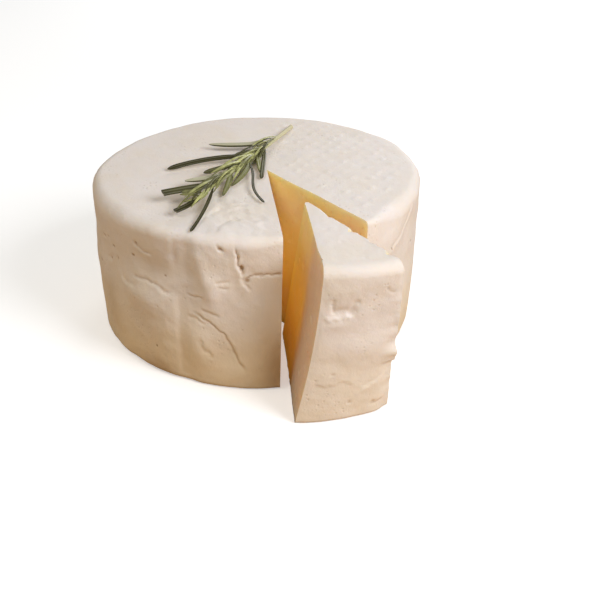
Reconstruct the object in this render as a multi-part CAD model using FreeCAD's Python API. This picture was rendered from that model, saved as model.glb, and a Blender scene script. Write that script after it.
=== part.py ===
"""Round fresh cheese with a cut wedge drawn out of its notch and a rosemary sprig on top.

Millimetres, +Z up. The origin is the middle of the wheel's foot. The wedge stands on the -Y side.
"""
import FreeCAD, Part
import os
from math import atan2, cos, exp, pi, radians, sin
from typing import NamedTuple

from FreeCAD import Vector

# The wheel
wheel_radius = 76.2         # of the wall, just below the rim
wheel_height = 75.4
foot_draw_in = 2.4          # how much less the wall's radius is at the foot than at the rim
rim_rounding = 4.0
foot_rounding = 2.5
top_slope_x = 0.028         # the top rises towards +X and, less, towards +Y
top_slope_y = 0.009

# The notch that the wedge was cut from
notch_apex = Vector(4.0, -2.4, 0)
notch_left_heading = radians(-82.4)
notch_right_heading = radians(-51.9)

# The wedge
wedge_tip_width_foot = 1.0
wedge_tip_width_top = 2.2   # its tip is blunter at the top
wedge_rim_rounding = 5.0
wedge_foot_rounding = 1.5
left_face_hollow = 1.6      # how far the left face bends in at half height
chip_height = 27.0          # below this the outer face's right end is broken back
chip_depth = 1.8
chip_ledge = 2.0            # height over which the break steps in

# The sprig
stem_radius_cut = 1.05      # at the cut end
stem_radius_tip = 0.7       # under the youngest leaves
leaf_thickness = 1.3
leaf_flatness = 0.8         # a narrow leaf is at most this share as thick as it is wide
leaf_base_width = 0.5       # shares of a leaf's full width, at its base and at its tip
leaf_tip_width = 0.25
leaf_widens_over = 0.25     # shares of a leaf's length
leaf_tapers_over = 0.2

# Fineness
wall_points = 48            # points round each ring of the wall
wall_levels = 9             # steps up the wheel's wall between its two roundings
wedge_levels = 6
rounding_levels = 4         # rings in each rounding
stem_sections = 7
leaf_sections = 6
oval_sides = 8


class Dent(NamedTuple):
    """A broad swelling (depth above 0) or hollow of the wall: where it is and how far it spreads."""

    heading: float          # degrees about the wheel's axis
    height: float           # share of the wheel's height
    depth: float
    width: float
    tall: float


WALL_DENTS = [
    Dent(heading=188, height=0.45, depth=1.8, width=36, tall=60),
    Dent(heading=186, height=0.72, depth=-0.9, width=22, tall=8),
    Dent(heading=-146, height=0.62, depth=-1.0, width=20, tall=14),
    Dent(heading=-124, height=0.40, depth=1.2, width=22, tall=14),
    Dent(heading=-113, height=0.30, depth=-1.3, width=9, tall=34),
    Dent(heading=-101, height=0.72, depth=1.0, width=9, tall=16),
    Dent(heading=-88, height=0.68, depth=-1.4, width=12, tall=8),
    Dent(heading=-49, height=0.60, depth=0.9, width=14, tall=40),
    Dent(heading=10, height=0.35, depth=0.8, width=30, tall=24),
    Dent(heading=62, height=0.55, depth=-1.1, width=26, tall=22),
    Dent(heading=105, height=0.35, depth=1.0, width=28, tall=20),
]


class WedgeLevel(NamedTuple):
    """The wedge's outline at one height, set by its gaps to the notch's two faces."""

    tip_left_gap: float     # from the wedge's tip to the notch's left face
    tip_right_gap: float
    left_gap: float         # from the outer face's left end to the plane of the notch's left face
    left_beyond: float      # how far beyond the wheel's radius that end stands
    right_gap: float
    right_beyond: float


WEDGE_FOOT = WedgeLevel(6.3, 4.8, 3.5, 24.0, 5.5, 27.5)
WEDGE_TOP = WedgeLevel(13.3, 7.9, 12.7, 30.4, 12.6, 37.6)


class Leaf(NamedTuple):
    """One rosemary needle, from its place along the stem to its tip."""

    station: float          # share of the stem's length from its cut end
    heading: float          # degrees about +Z
    length: float
    width: float
    tip_rise: float         # height of the tip above the cheese, less the stem's
    bow: float              # sideways bulge of its middle, to the left of its heading
    roll: float = 0.0       # turn of its blade about its own length, degrees
    cut: bool = False       # a cut end keeps its full width


LEAVES = [
    Leaf(0.25, 191, 31, 3.6, 1.0, 3.0, roll=55),
    Leaf(0.38, 204, 13, 2.2, -0.3, -1.3),
    Leaf(0.46, 197, 41, 2.6, -1.9, -3.0),
    Leaf(0.54, 213, 22, 2.8, -0.8, 0.3, roll=20),
    Leaf(0.69, 207, 22, 3.2, 0.3, 2.0, roll=45),
    Leaf(0.83, 210, 25, 3.2, 1.2, 0.0, roll=15, cut=True),
    Leaf(0.97, 231, 15, 2.8, -1.6, 1.0, cut=True),
    Leaf(0.85, 261, 39, 1.7, -3.8, 0.5),
    Leaf(0.52, 283, 44, 1.3, -2.6, -1.7),
    Leaf(0.33, 270, 36, 1.9, -1.5, 0.2),
    Leaf(0.68, 265, 20, 2.8, -3.0, 0.5, roll=20),
    Leaf(0.49, 257, 30, 2.6, -1.8, 2.0, roll=25),
    Leaf(0.36, 257, 17, 2.4, -1.3, 1.0),
    Leaf(0.42, 278, 22, 2.6, -2.0, 0.0, roll=10),
    Leaf(0.90, 241, 10, 2.4, -1.4, 0.7, roll=15),
    Leaf(0.94, 185, 9.5, 2.2, 0.9, -1.6, roll=30),
]

# The stem's middle line: across the top from its cut end to the shoot's tip, and its height above the top
STEM_PATH = [(14.0, 54.0, 1.0), (4.0, 26.0, 2.4), (-12.5, -16.5, 3.9), (-24.0, -46.5, 4.6)]


def top_height(x: float, y: float) -> float:
    """Height of the cheese's sloping top over a point."""
    return wheel_height + top_slope_x * x + top_slope_y * y


def at_heading(heading: float, out: float, z: float = 0.0) -> Vector:
    """Point at a heading in radians and a distance from the wheel's axis."""
    return Vector(out * cos(heading), out * sin(heading), z)


def into_notch(face_heading: float, side: int) -> Vector:
    """Unit normal of a notch face, into the notch: side is 1 for the left face and -1 for the right."""
    return at_heading(face_heading + side * pi / 2, 1.0)


def beside_face(face_heading: float, side: int, gap: float, out: float) -> Vector:
    """Point inside the notch at a gap from one face's plane and a distance from the wheel's axis."""
    foot = notch_apex + into_notch(face_heading, side) * gap
    run = at_heading(face_heading, 1.0)
    along = foot.dot(run)
    return foot + run * ((along ** 2 - foot.dot(foot) + out ** 2) ** 0.5 - along)


def between_faces(left_gap: float, right_gap: float) -> Vector:
    """Point inside the notch at a gap from each of its faces."""
    left = into_notch(notch_left_heading, 1)
    right = into_notch(notch_right_heading, -1)
    shared = left.dot(right)
    left_share = (left_gap - shared * right_gap) / (1 - shared ** 2)
    right_share = (right_gap - shared * left_gap) / (1 - shared ** 2)
    return notch_apex + left * left_share + right * right_share


def closed_ring(points: list) -> Part.Wire:
    """Smooth closed wire through points, with the same parameters on every ring."""
    even_steps = [float(i) for i in range(len(points) + 1)]
    curve = Part.BSplineCurve()
    curve.interpolate(Points=points, PeriodicFlag=True, Parameters=even_steps)
    return Part.Wire([curve.toShape()])


def wall_radius(heading: float, share: float) -> float:
    """Radius of the wheel's wall at a heading, in radians, and a share of its height."""
    radius = wheel_radius - foot_draw_in * (1 - share)
    for dent in WALL_DENTS:
        turn = atan2(sin(heading - radians(dent.heading)), cos(heading - radians(dent.heading)))
        across = turn * wheel_radius / dent.width
        up = (share - dent.height) * wheel_height / dent.tall
        radius += dent.depth * exp(-across * across - up * up)
    return radius


def edge_profile(height: float, foot: float, rim: float, levels: int) -> list:
    """(height, inset) pairs up a wall whose foot and rim are rounded to quarter circles."""
    quarter = [pi / 2 * i / rounding_levels for i in range(rounding_levels)]
    low = [(foot * (1 - cos(a)), foot * (1 - sin(a))) for a in quarter]
    high = [(height - rim * (1 - cos(a)), rim * (1 - sin(a))) for a in reversed(quarter)]
    span = height - foot - rim
    middle = [(foot + span * i / levels, 0.0) for i in range(levels + 1)]
    return low + middle + high


def make_wheel() -> Part.Shape:
    """The whole wheel with its uneven wall and sloping top, less the notch."""
    rings = []
    for z, inset in edge_profile(wheel_height, foot_rounding, rim_rounding, wall_levels):
        share = z / wheel_height
        points = []
        for i in range(wall_points):
            heading = 2 * pi * i / wall_points
            spot = at_heading(heading, wall_radius(heading, share) - inset)
            points.append(Vector(spot.x, spot.y, share * top_height(spot.x, spot.y)))
        rings.append(closed_ring(points))
    wheel = Part.makeLoft(rings, True, True)
    past_wall = 1.5 * wheel_radius
    low_apex = notch_apex - Vector(0, 0, wheel_height)
    left = low_apex + at_heading(notch_left_heading, past_wall)
    right = low_apex + at_heading(notch_right_heading, past_wall)
    outline = Part.makePolygon([low_apex, left, right, low_apex])
    return wheel.cut(Part.Face(outline).extrude(Vector(0, 0, 3 * wheel_height)))


def between(low: float, high: float, share: float) -> float:
    """Value a share of the way from low to high."""
    return low + (high - low) * share


def wedge_outline(height: float, inset: float) -> Part.Wire:
    """The wedge's outline at a height, its outer face drawn in by inset."""
    share = height / wheel_height
    level = WedgeLevel(*[between(low, high, share) for low, high in zip(WEDGE_FOOT, WEDGE_TOP)])
    tip = between_faces(level.tip_left_gap, level.tip_right_gap)
    left = beside_face(notch_left_heading, 1, level.left_gap, wheel_radius + level.left_beyond)
    right = beside_face(notch_right_heading, -1, level.right_gap, wheel_radius + level.right_beyond)
    left_run = (left - tip).normalize()
    right_run = (right - tip).normalize()
    hollow = left_face_hollow * sin(pi * share)
    broken = chip_depth * min(1.0, max(0.0, (chip_height - height) / chip_ledge))
    left = left - left_run * inset + Vector(-left_run.y, left_run.x, 0) * hollow
    right = right - right_run * (inset + broken)
    half_chord = (right - left).Length / 2
    outward = Vector((right - left).y, -(right - left).x, 0).normalize()
    bulge = wheel_radius - (wheel_radius ** 2 - half_chord ** 2) ** 0.5
    blunt = between(wedge_tip_width_foot, wedge_tip_width_top, share) / (right_run - left_run).Length
    outer = [left, (left + right) * 0.5 + outward * bulge, right]
    points = [tip + left_run * blunt] + outer + [tip + right_run * blunt]
    on_level = [Vector(p.x, p.y, share * top_height(p.x, p.y)) for p in points]
    edges = [
        Part.makeLine(on_level[0], on_level[1]),
        Part.Arc(on_level[1], on_level[2], on_level[3]).toShape(),
        Part.makeLine(on_level[3], on_level[4]),
        Part.makeLine(on_level[4], on_level[0]),
    ]
    return Part.Wire(edges)


def make_wedge() -> Part.Shape:
    """The drawn-out wedge, wider at its foot, with a blunt tip and a broken lower corner."""
    profile = edge_profile(wheel_height, wedge_foot_rounding, wedge_rim_rounding, wedge_levels)
    profile += [(chip_height, 0.0), (chip_height - chip_ledge, 0.0)]
    outlines = [wedge_outline(height, inset) for height, inset in sorted(profile)]
    return Part.makeLoft(outlines, True, True)


def stem_curve() -> Part.BSplineCurve:
    """The stem's middle line from its cut end to the shoot's tip."""
    curve = Part.BSplineCurve()
    curve.interpolate([Vector(x, y, top_height(x, y) + rise) for x, y, rise in STEM_PATH])
    return curve


def oval(centre: Vector, along: Vector, wide: Vector, half_width: float, half_thick: float) -> Part.Wire:
    """Many-sided oval round centre, square to along, with its long axis along wide."""
    across = wide.normalize()
    through = along.normalize().cross(across)
    corners = []
    for i in range(oval_sides):
        turn = 2 * pi * i / oval_sides
        corners.append(centre + across * (half_width * cos(turn)) + through * (half_thick * sin(turn)))
    return Part.makePolygon(corners + corners[:1])


def make_stem(line: Part.BSplineCurve) -> Part.Shape:
    """The stem, thinner towards the shoot's tip."""
    first, last = line.FirstParameter, line.LastParameter
    rings = []
    for i in range(stem_sections):
        share = i / (stem_sections - 1)
        at = between(first, last, share)
        along = line.tangent(at)[0]
        radius = between(stem_radius_cut, stem_radius_tip, share)
        level = Vector(0, 0, 1).cross(along)
        rings.append(oval(line.value(at), along, level, radius, radius))
    return Part.makeLoft(rings, True, True)


def leaf_swell(share: float, cut: bool) -> float:
    """Width of a needle along its length, as a share of its full width."""
    to_tip = (share - 1.0 + leaf_tapers_over) / leaf_tapers_over
    if to_tip > 0 and not cut:
        return between(leaf_tip_width, 1.0, cos(pi / 2 * to_tip))
    return between(leaf_base_width, 1.0, min(1.0, share / leaf_widens_over))


def make_leaf(line: Part.BSplineCurve, leaf: Leaf) -> Part.Shape:
    """One needle: a bowed, tapering blade that starts inside the stem."""
    start = line.value(between(line.FirstParameter, line.LastParameter, leaf.station))
    heading = at_heading(radians(leaf.heading), 1.0)
    side = Vector(-heading.y, heading.x, 0)
    base_rise = start.z - top_height(start.x, start.y)
    rings = []
    for i in range(leaf_sections):
        share = i / (leaf_sections - 1)
        out = start + heading * (leaf.length * share) + side * (leaf.bow * 4 * share * (1 - share))
        rise = base_rise + leaf.tip_rise * share
        centre = Vector(out.x, out.y, top_height(out.x, out.y) + rise)
        along = heading + side * (leaf.bow * 4 * (1 - 2 * share) / leaf.length)
        along.z = leaf.tip_rise / leaf.length
        flat = Vector(0, 0, 1).cross(along).normalize()
        wide = FreeCAD.Rotation(along, leaf.roll).multVec(flat)
        half_width = leaf.width / 2 * leaf_swell(share, leaf.cut)
        half_thick = min(leaf_thickness / 2, half_width * leaf_flatness)
        rings.append(oval(centre, along, wide, half_width, half_thick))
    return Part.makeLoft(rings, True, True)


def make_sprig() -> Part.Shape:
    """The rosemary sprig as one solid lying on the top."""
    line = stem_curve()
    sprig = make_stem(line)
    for leaf in LEAVES:
        sprig = sprig.fuse(make_leaf(line, leaf))
    return sprig


def write_node(name: str, shape: Part.Shape) -> None:
    """Write one closed solid to its STEP file."""
    solids = shape.Solids
    print(name, "solids", len(solids), "valid", shape.isValid(), "volume", round(shape.Volume, 1))
    if len(solids) != 1 or not shape.isValid():
        raise ValueError(name + " is not one valid solid")
    solids[0].exportStep("parts/" + name + ".step")


os.makedirs("parts", exist_ok=True)
write_node("cheese_wheel", make_wheel())
write_node("cheese_wedge", make_wedge())
write_node("rosemary_sprig", make_sprig())
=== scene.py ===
"""Fresh cheese: a round wheel, the wedge drawn out of its notch, and a rosemary sprig lying on top.

Sizes in the classes below are millimetres and headings are degrees about the wheel's axis. A mesh becomes
metres when it is made. The origin is the middle of the wheel's foot, and the wedge stands on the -Y side.
"""
import logging
from dataclasses import astuple, dataclass, field
from enum import Enum
from functools import partial, reduce
from itertools import product
from math import cos, pi, radians, sin
from typing import Callable, Sequence

import bmesh
import bpy
import numpy as np
from mathutils import Matrix, Vector
from mathutils.geometry import delaunay_2d_cdt


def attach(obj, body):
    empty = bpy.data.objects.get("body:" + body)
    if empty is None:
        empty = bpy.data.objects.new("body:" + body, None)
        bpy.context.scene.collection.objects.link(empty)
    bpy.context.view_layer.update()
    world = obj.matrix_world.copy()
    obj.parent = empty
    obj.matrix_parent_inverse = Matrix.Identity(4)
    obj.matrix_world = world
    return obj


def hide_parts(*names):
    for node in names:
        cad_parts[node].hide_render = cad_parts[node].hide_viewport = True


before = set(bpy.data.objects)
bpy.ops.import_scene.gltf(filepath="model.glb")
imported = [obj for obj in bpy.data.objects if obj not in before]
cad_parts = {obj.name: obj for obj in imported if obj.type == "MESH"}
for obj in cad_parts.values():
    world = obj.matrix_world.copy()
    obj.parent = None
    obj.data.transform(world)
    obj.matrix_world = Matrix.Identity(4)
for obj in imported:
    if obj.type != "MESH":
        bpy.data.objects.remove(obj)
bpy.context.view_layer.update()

log = logging.getLogger("fresh_cheese")

METRES = 0.001
BODY = "root"
WHEEL_RADIUS = 76.2
SHARP_EDGE = 48.0

Array = np.ndarray
Pair = tuple[float, float]
Triple = tuple[float, float, float]
Tree = bpy.types.NodeTree
Node = bpy.types.Node
Socket = bpy.types.NodeSocket
Material = bpy.types.Material
Piece = bpy.types.Object
Input = Socket | float | bool | tuple | str
Inputs = dict[str | int, Input]


class Slot(Enum):
    """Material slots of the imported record."""

    RIND = "rind"
    LEAF = "leaf"


class Skin(Enum):
    """Which finish a face of a cheese piece takes, as its material index."""

    RIND = 0
    PASTE = 1


# ------------ numbers


def ease(value: Array | float) -> Array:
    """Smooth step from 0 to 1 as value goes from 0 to 1."""
    held = np.clip(value, 0.0, 1.0)
    return held * held * (3.0 - 2.0 * held)


def linear(*shown: int) -> tuple[float, ...]:
    """Turn a display colour into the linear colour that a shader takes.

    Args:
        shown: Red, green and blue, 0 to 255.

    Returns:
        Linear red, green, blue and a full alpha.
    """
    shares = [channel / 255.0 for channel in shown]
    out = [share / 12.92 if share <= 0.04045 else ((share + 0.055) / 1.055) ** 2.4 for share in shares]
    return *out, 1.0


def scattered(cells: Array, seed: int) -> Array:
    """Give each whole-numbered cell its own fixed value.

    Args:
        cells: Whole numbers, one row of three for each cell.
        seed: Picks another set of values.

    Returns:
        One value from -1 to 1 for each cell.
    """
    mixed = cells.astype(np.int64).astype(np.uint64)
    key = mixed[:, 0] * np.uint64(73856093) ^ mixed[:, 1] * np.uint64(19349663)
    key ^= mixed[:, 2] * np.uint64(83492791) ^ np.uint64(seed * 2654435761)
    for _ in range(2):
        key ^= key >> np.uint64(15)
        key = key * np.uint64(2246822519) & np.uint64(0xFFFFFFFF)
        key ^= key >> np.uint64(13)
    return key.astype(float) / 0xFFFFFFFF * 2.0 - 1.0


def noise(points: Array, cell: float, seed: int) -> Array:
    """Smooth noise in space.

    Args:
        points: Places, one row of three for each.
        cell: Size of its swells, in the points' unit.
        seed: Picks another field.

    Returns:
        One value from about -1 to 1 for each place.
    """
    spot = points / cell
    base = np.floor(spot)
    part = spot - base
    part = part * part * part * (part * (part * 6.0 - 15.0) + 10.0)
    total = np.zeros(len(points))
    for corner in product((0, 1), repeat=3):
        share = np.ones(len(points))
        for axis in range(3):
            share = share * (part[:, axis] if corner[axis] else 1.0 - part[:, axis])
        total += share * scattered(base + np.array(corner), seed)
    return total


def layered_noise(points: Array, cell: float, layers: int, seed: int) -> Array:
    """Noise with finer layers, each half as strong as the one before.

    Args:
        points: Places, one row of three for each.
        cell: Size of the largest swells.
        layers: How many layers are added up.
        seed: Picks another field.

    Returns:
        One value from about -1 to 1 for each place.
    """
    total = np.zeros(len(points))
    for layer in range(layers):
        total += noise(points, cell / 2.0 ** layer, seed + 17 * layer) / 2.0 ** layer
    return total / (2.0 - 2.0 ** (1 - layers))


# ------------ what shows on a skin


def level(x: Array, y: Array | float = 0.0) -> Array:
    """Places in space at height 0, one row of three for each."""
    return np.stack([x, np.broadcast_to(y, x.shape), np.zeros(len(x))], 1)


@dataclass(frozen=True)
class Spots:
    """Places on a skin: across and up it, the millimetres in one unit of across, and a ragged offset."""

    across: Array
    up: Array
    stretch: float
    wander: Array

    def off(self, across: float, up: float) -> tuple[Array, Array]:
        """How far each place is from another, in millimetres across and up."""
        return (self.across - across) * self.stretch, self.up - up


@dataclass(frozen=True)
class Crease:
    """A fold or crack along a path on a skin.

    path: (across, up) points. depth and width: of the fold. lip: how far the skin stands proud on one side
    of it, which is the side on the path's left when lip_left is true. lip_width: how far that side's
    swelling reaches. tint: how strongly painted shade darkens the fold. ragged: how far it strays from the
    path.
    """

    path: tuple[Pair, ...]
    depth: float
    width: float
    lip: float = 0.0
    lip_width: float = 5.0
    lip_left: bool = True
    tint: float = 0.4
    ragged: float = 1.0

    def measure(self, at: Spots) -> tuple[Array, Array]:
        """Find each place's distance from the path.

        Args:
            at: The places.

        Returns:
            The distance, positive on the path's left, and the nearest share along the path.
        """
        spots = np.stack([at.across * at.stretch, at.up], 1)
        corners = np.array([(across * at.stretch, up) for across, up in self.path])
        runs = np.linalg.norm(np.diff(corners, axis=0), axis=1)
        nearest = np.full(len(spots), 1e9)
        side = np.ones(len(spots))
        share = np.zeros(len(spots))
        walked = 0.0
        for start, end, run in zip(corners, corners[1:], runs):
            step = (end - start) / run
            off = spots - start
            along = np.clip(off @ step, 0.0, run)
            gap = off - along[:, None] * step
            distance = np.linalg.norm(gap, axis=1)
            closer = distance < nearest
            nearest = np.where(closer, distance, nearest)
            turned = step[0] * off[:, 1] - step[1] * off[:, 0]
            side = np.where(closer, np.where(turned >= 0.0, 1.0, -1.0), side)
            share = np.where(closer, (walked + along) / runs.sum(), share)
            walked += run
        return nearest * side, share

    def relief(self, at: Spots) -> tuple[Array, Array]:
        """Work out how the crease moves the skin.

        Args:
            at: The places.

        Returns:
            The outward move, and how deep in a hollow each place is, 0 to 1.
        """
        distance, share = self.measure(at)
        signed = distance + at.wander * self.width * self.ragged
        fade = ease(share / 0.15 + 0.15) * ease((1.0 - share) / 0.15 + 0.15)
        beyond = np.exp(-((distance / (3.0 * self.width + self.lip_width)) ** 2))
        groove = np.exp(-((signed / self.width) ** 2)) * fade
        facing = signed if self.lip_left else -signed
        rise = ease(facing / self.width) * np.exp(-((facing / self.lip_width) ** 2)) * fade
        return (self.lip * rise - self.depth * groove) * np.sqrt(beyond), self.tint * groove * beyond


@dataclass(frozen=True)
class Pit:
    """A small ragged hole or dimple in a skin, at (across, up), size wide and tall."""

    across: float
    up: float
    wide: float
    tall: float
    depth: float
    # dark: how strongly painted shade darkens the pit.
    dark: float = 1.0

    def relief(self, at: Spots) -> tuple[Array, Array]:
        """Work out how the pit moves the skin.

        Args:
            at: The places.

        Returns:
            The outward move, and how deep in a hollow each place is, 0 to 1.
        """
        across, up = at.off(self.across, self.up)
        reach = np.hypot(across / self.wide, up / self.tall) * (1.0 + 0.35 * at.wander)
        well = np.exp(-(reach ** 4) * 1.6)
        return -self.depth * well, self.dark * well


@dataclass(frozen=True)
class Swelling:
    """A broad swelling (rise above 0) or hollow of a skin, at (across, up), darkened by painted shade of
    strength tint.
    """

    across: float
    up: float
    wide: float
    tall: float
    rise: float
    tint: float = 0.0

    def relief(self, at: Spots) -> tuple[Array, Array]:
        """Work out how the swelling moves the skin.

        Args:
            at: The places.

        Returns:
            The outward move, and how strongly painted shade darkens each place, 0 to 1.
        """
        across, up = at.off(self.across, self.up)
        bell = np.exp(-((across / self.wide) ** 2 + (up / self.tall) ** 2))
        return self.rise * bell, self.tint * bell


@dataclass(frozen=True)
class Flake:
    """A patch of skin that has come away and lies lower, with sharp edges on its left and below.

    left, right, low and high bound it, depth is how far it lies lower, and edge is how wide its sharp
    edges are.
    """

    left: float
    right: float
    low: float
    high: float
    depth: float
    edge: float = 0.8

    def relief(self, at: Spots) -> tuple[Array, Array]:
        """Work out how the patch moves the skin.

        Args:
            at: The places.

        Returns:
            The outward move, and how deep in a hollow each place is, 0 to 1.
        """
        from_left, from_low = at.off(self.left, self.low)
        from_right, from_high = at.off(self.right, self.high)
        inside = ease((from_left + 0.7 * at.wander) / self.edge) * ease(-from_right / 5.0 + 0.5)
        inside = inside * ease((from_low + 0.6 * at.wander) / self.edge) * ease(-from_high / 6.0)
        # The lower patch takes a little painted shade.
        return -self.depth * inside, 0.25 * inside


Mark = Crease | Pit | Swelling | Flake


@dataclass(frozen=True)
class Marks:
    """All the marks of one skin. stretch: millimetres in one unit of across."""

    marks: tuple[Mark, ...]
    stretch: float
    seed: int

    def relief(self, across: Array, up: Array) -> tuple[Array, Array]:
        """Add up every mark.

        Args:
            across: Places across the skin.
            up: Places up the skin.

        Returns:
            The outward move in millimetres, and how deep in a hollow each place is, 0 to 1.
        """
        wander = layered_noise(level(across * self.stretch, up), 3.2, 2, self.seed)
        spots = Spots(across, up, self.stretch, wander)
        move = np.zeros(len(across))
        hollow = np.zeros(len(across))
        for mark in self.marks:
            pushed, dark = mark.relief(spots)
            move += pushed
            hollow = np.maximum(hollow, dark)
        return move, hollow


# ------------ meshes


def put(name: str, data: bpy.types.ID) -> Piece:
    """Add an object with the given data to the scene."""
    piece = bpy.data.objects.new(name, data)
    bpy.context.scene.collection.objects.link(piece)
    return piece


def new_mesh(name: str, places: Array, edges: list, faces: list, values: dict[str, Array]) -> Piece:
    """Make a mesh and its object.

    Args:
        name: Its name.
        places: Places in millimetres, one row of three for each point.
        edges: Pairs of points that no face joins.
        faces: The points of each face.
        values: Named values, one for each point.

    Returns:
        The object, at the origin.
    """
    mesh = bpy.data.meshes.new(name)
    mesh.from_pydata((places * METRES).tolist(), edges, faces)
    for value, numbers in values.items():
        attribute = mesh.attributes.new(value, "FLOAT", "POINT")
        attribute.data.foreach_set("value", numbers.astype(np.float32))
    return put(name, mesh)


@dataclass
class Shell:
    """Points, faces and values of one closed mesh while its patches are laid edge to edge."""

    values: tuple[str, ...] = ("hollow", "press", "gold")
    points: list[Array] = field(default_factory=list)
    stored: dict[str, list[Array]] = field(default_factory=dict)
    faces: list[list[int]] = field(default_factory=list)
    skins: list[int] = field(default_factory=list)
    count: int = 0

    def add_points(self, places: Array, **given: Array) -> Array:
        """Add points and their values.

        Args:
            places: Places in millimetres, one row of three for each.
            given: A value for each point, under its name. Those not given are 0.

        Returns:
            The new points' numbers.
        """
        self.points.append(places)
        for name in self.values:
            filled = np.broadcast_to(np.asarray(given.get(name, 0.0), float), (len(places),))
            self.stored.setdefault(name, []).append(filled)
        numbers = np.arange(self.count, self.count + len(places))
        self.count += len(places)
        return numbers

    def add_grid(self, numbers: Array, skins: Sequence[Skin]) -> None:
        """Lay four-sided faces over rows and columns of points.

        Args:
            numbers: The points' numbers, in rows and columns.
            skins: The skin of each column of faces, or one for all.
        """
        corners = np.stack([numbers[:-1, :-1], numbers[:-1, 1:], numbers[1:, 1:], numbers[1:, :-1]], -1)
        each = [skin.value for skin in skins] * (1 if len(skins) > 1 else corners.shape[1])
        self.faces += corners.reshape(-1, 4).tolist()
        self.skins += each * corners.shape[0]

    def add_patch(self, loop: Array, flat: Array, spacing: float, skin: Skin,
                  place: Callable[[Array, Array], dict[str, Array]]) -> None:
        """Fill a closed loop of points with even triangles.

        Args:
            loop: Numbers of the loop's points, in order.
            flat: The loop's points laid flat, one row of two for each.
            spacing: Distance between the new points inside.
            skin: The skin of the patch.
            place: Takes the new points laid flat and their distances from the loop, and gives their
                places and values.
        """
        inside, distance = even_points(flat, spacing)
        given = place(inside, distance)
        numbers = self.add_points(given.pop("places"), **given)
        everything = np.concatenate([loop, numbers])
        spots = np.concatenate([flat, inside])
        found = delaunay_2d_cdt([Vector(spot) for spot in spots.tolist()], [], [list(range(len(flat)))],
                                1, 1e-5, True)
        origin = np.array([ids[0] for ids in found[3]])
        corners = origin[np.array(found[2])]
        kept, _ = within(flat, spots[corners].mean(1))
        triangles = everything[corners[kept]].tolist()
        self.faces += triangles
        self.skins += [skin.value] * len(triangles)

    def build(self, name: str, materials: Sequence[Material]) -> Piece:
        """Make the mesh and its object, with every face outwards.

        Args:
            name: The piece's name.
            materials: The finishes, in the order of their numbers.

        Returns:
            The object, at the origin.
        """
        values = {value: np.concatenate(parts) for value, parts in self.stored.items()}
        piece = new_mesh(name, np.concatenate(self.points), [], self.faces, values)
        mesh = piece.data
        for material in materials:
            mesh.materials.append(material)
        mesh.polygons.foreach_set("material_index", self.skins)
        work = bmesh.new()
        work.from_mesh(mesh)
        bmesh.ops.recalc_face_normals(work, faces=work.faces)
        work.to_mesh(mesh)
        work.free()
        mesh.shade_smooth()
        mesh.set_sharp_from_angle(angle=radians(SHARP_EDGE))
        return piece


def even_points(loop: Array, spacing: float) -> tuple[Array, Array]:
    """Spread points evenly inside a closed loop.

    Args:
        loop: The loop's corners, one row of two for each.
        spacing: Distance between neighbours.

    Returns:
        The points, and how far each is from the loop.
    """
    low, high = loop.min(0), loop.max(0)
    rows = np.arange(low[1], high[1], spacing * 0.866)
    columns = np.arange(low[0], high[0] + spacing, spacing)
    spots = np.array([(x + spacing / 2 * (row % 2), y) for row, y in enumerate(rows) for x in columns])
    cells = np.column_stack([np.arange(len(spots))] * 3)
    spots = spots + 0.12 * spacing * np.stack([scattered(cells, 5), scattered(cells, 6)], 1)
    inside, distance = within(loop, spots)
    kept = inside & (distance > 0.55 * spacing)
    return spots[kept], distance[kept]


def within(loop: Array, spots: Array) -> tuple[Array, Array]:
    """Tell which points lie inside a closed loop.

    Args:
        loop: The loop's corners, one row of two for each.
        spots: The points, one row of two for each.

    Returns:
        Whether each is inside, and how far each is from the loop.
    """
    crossings = np.zeros(len(spots), int)
    distance = np.full(len(spots), 1e18)
    for start, end in zip(loop, np.roll(loop, -1, axis=0)):
        run = end - start
        off_x, off_y = spots[:, 0] - start[0], spots[:, 1] - start[1]
        along = np.clip((off_x * run[0] + off_y * run[1]) / max(run @ run, 1e-12), 0.0, 1.0)
        gap = (off_x - along * run[0]) ** 2 + (off_y - along * run[1]) ** 2
        distance = np.minimum(distance, gap)
        spans = (start[1] > spots[:, 1]) != (end[1] > spots[:, 1])
        if run[1] != 0.0:
            crossings += spans & (off_x < off_y * run[0] / run[1])
    return crossings % 2 == 1, np.sqrt(distance)


def steps_between(start: Array, end: Array, spacing: float) -> Array:
    """Points on a straight line, both ends left out.

    Args:
        start: Where the line starts.
        end: Where it ends.
        spacing: About how far apart the points are.

    Returns:
        One row for each point.
    """
    count = max(2, int(round(np.linalg.norm(end - start) / spacing)))
    shares = np.arange(1, count)[:, None] / count
    return start + (end - start) * shares


# ------------ node helpers


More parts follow.
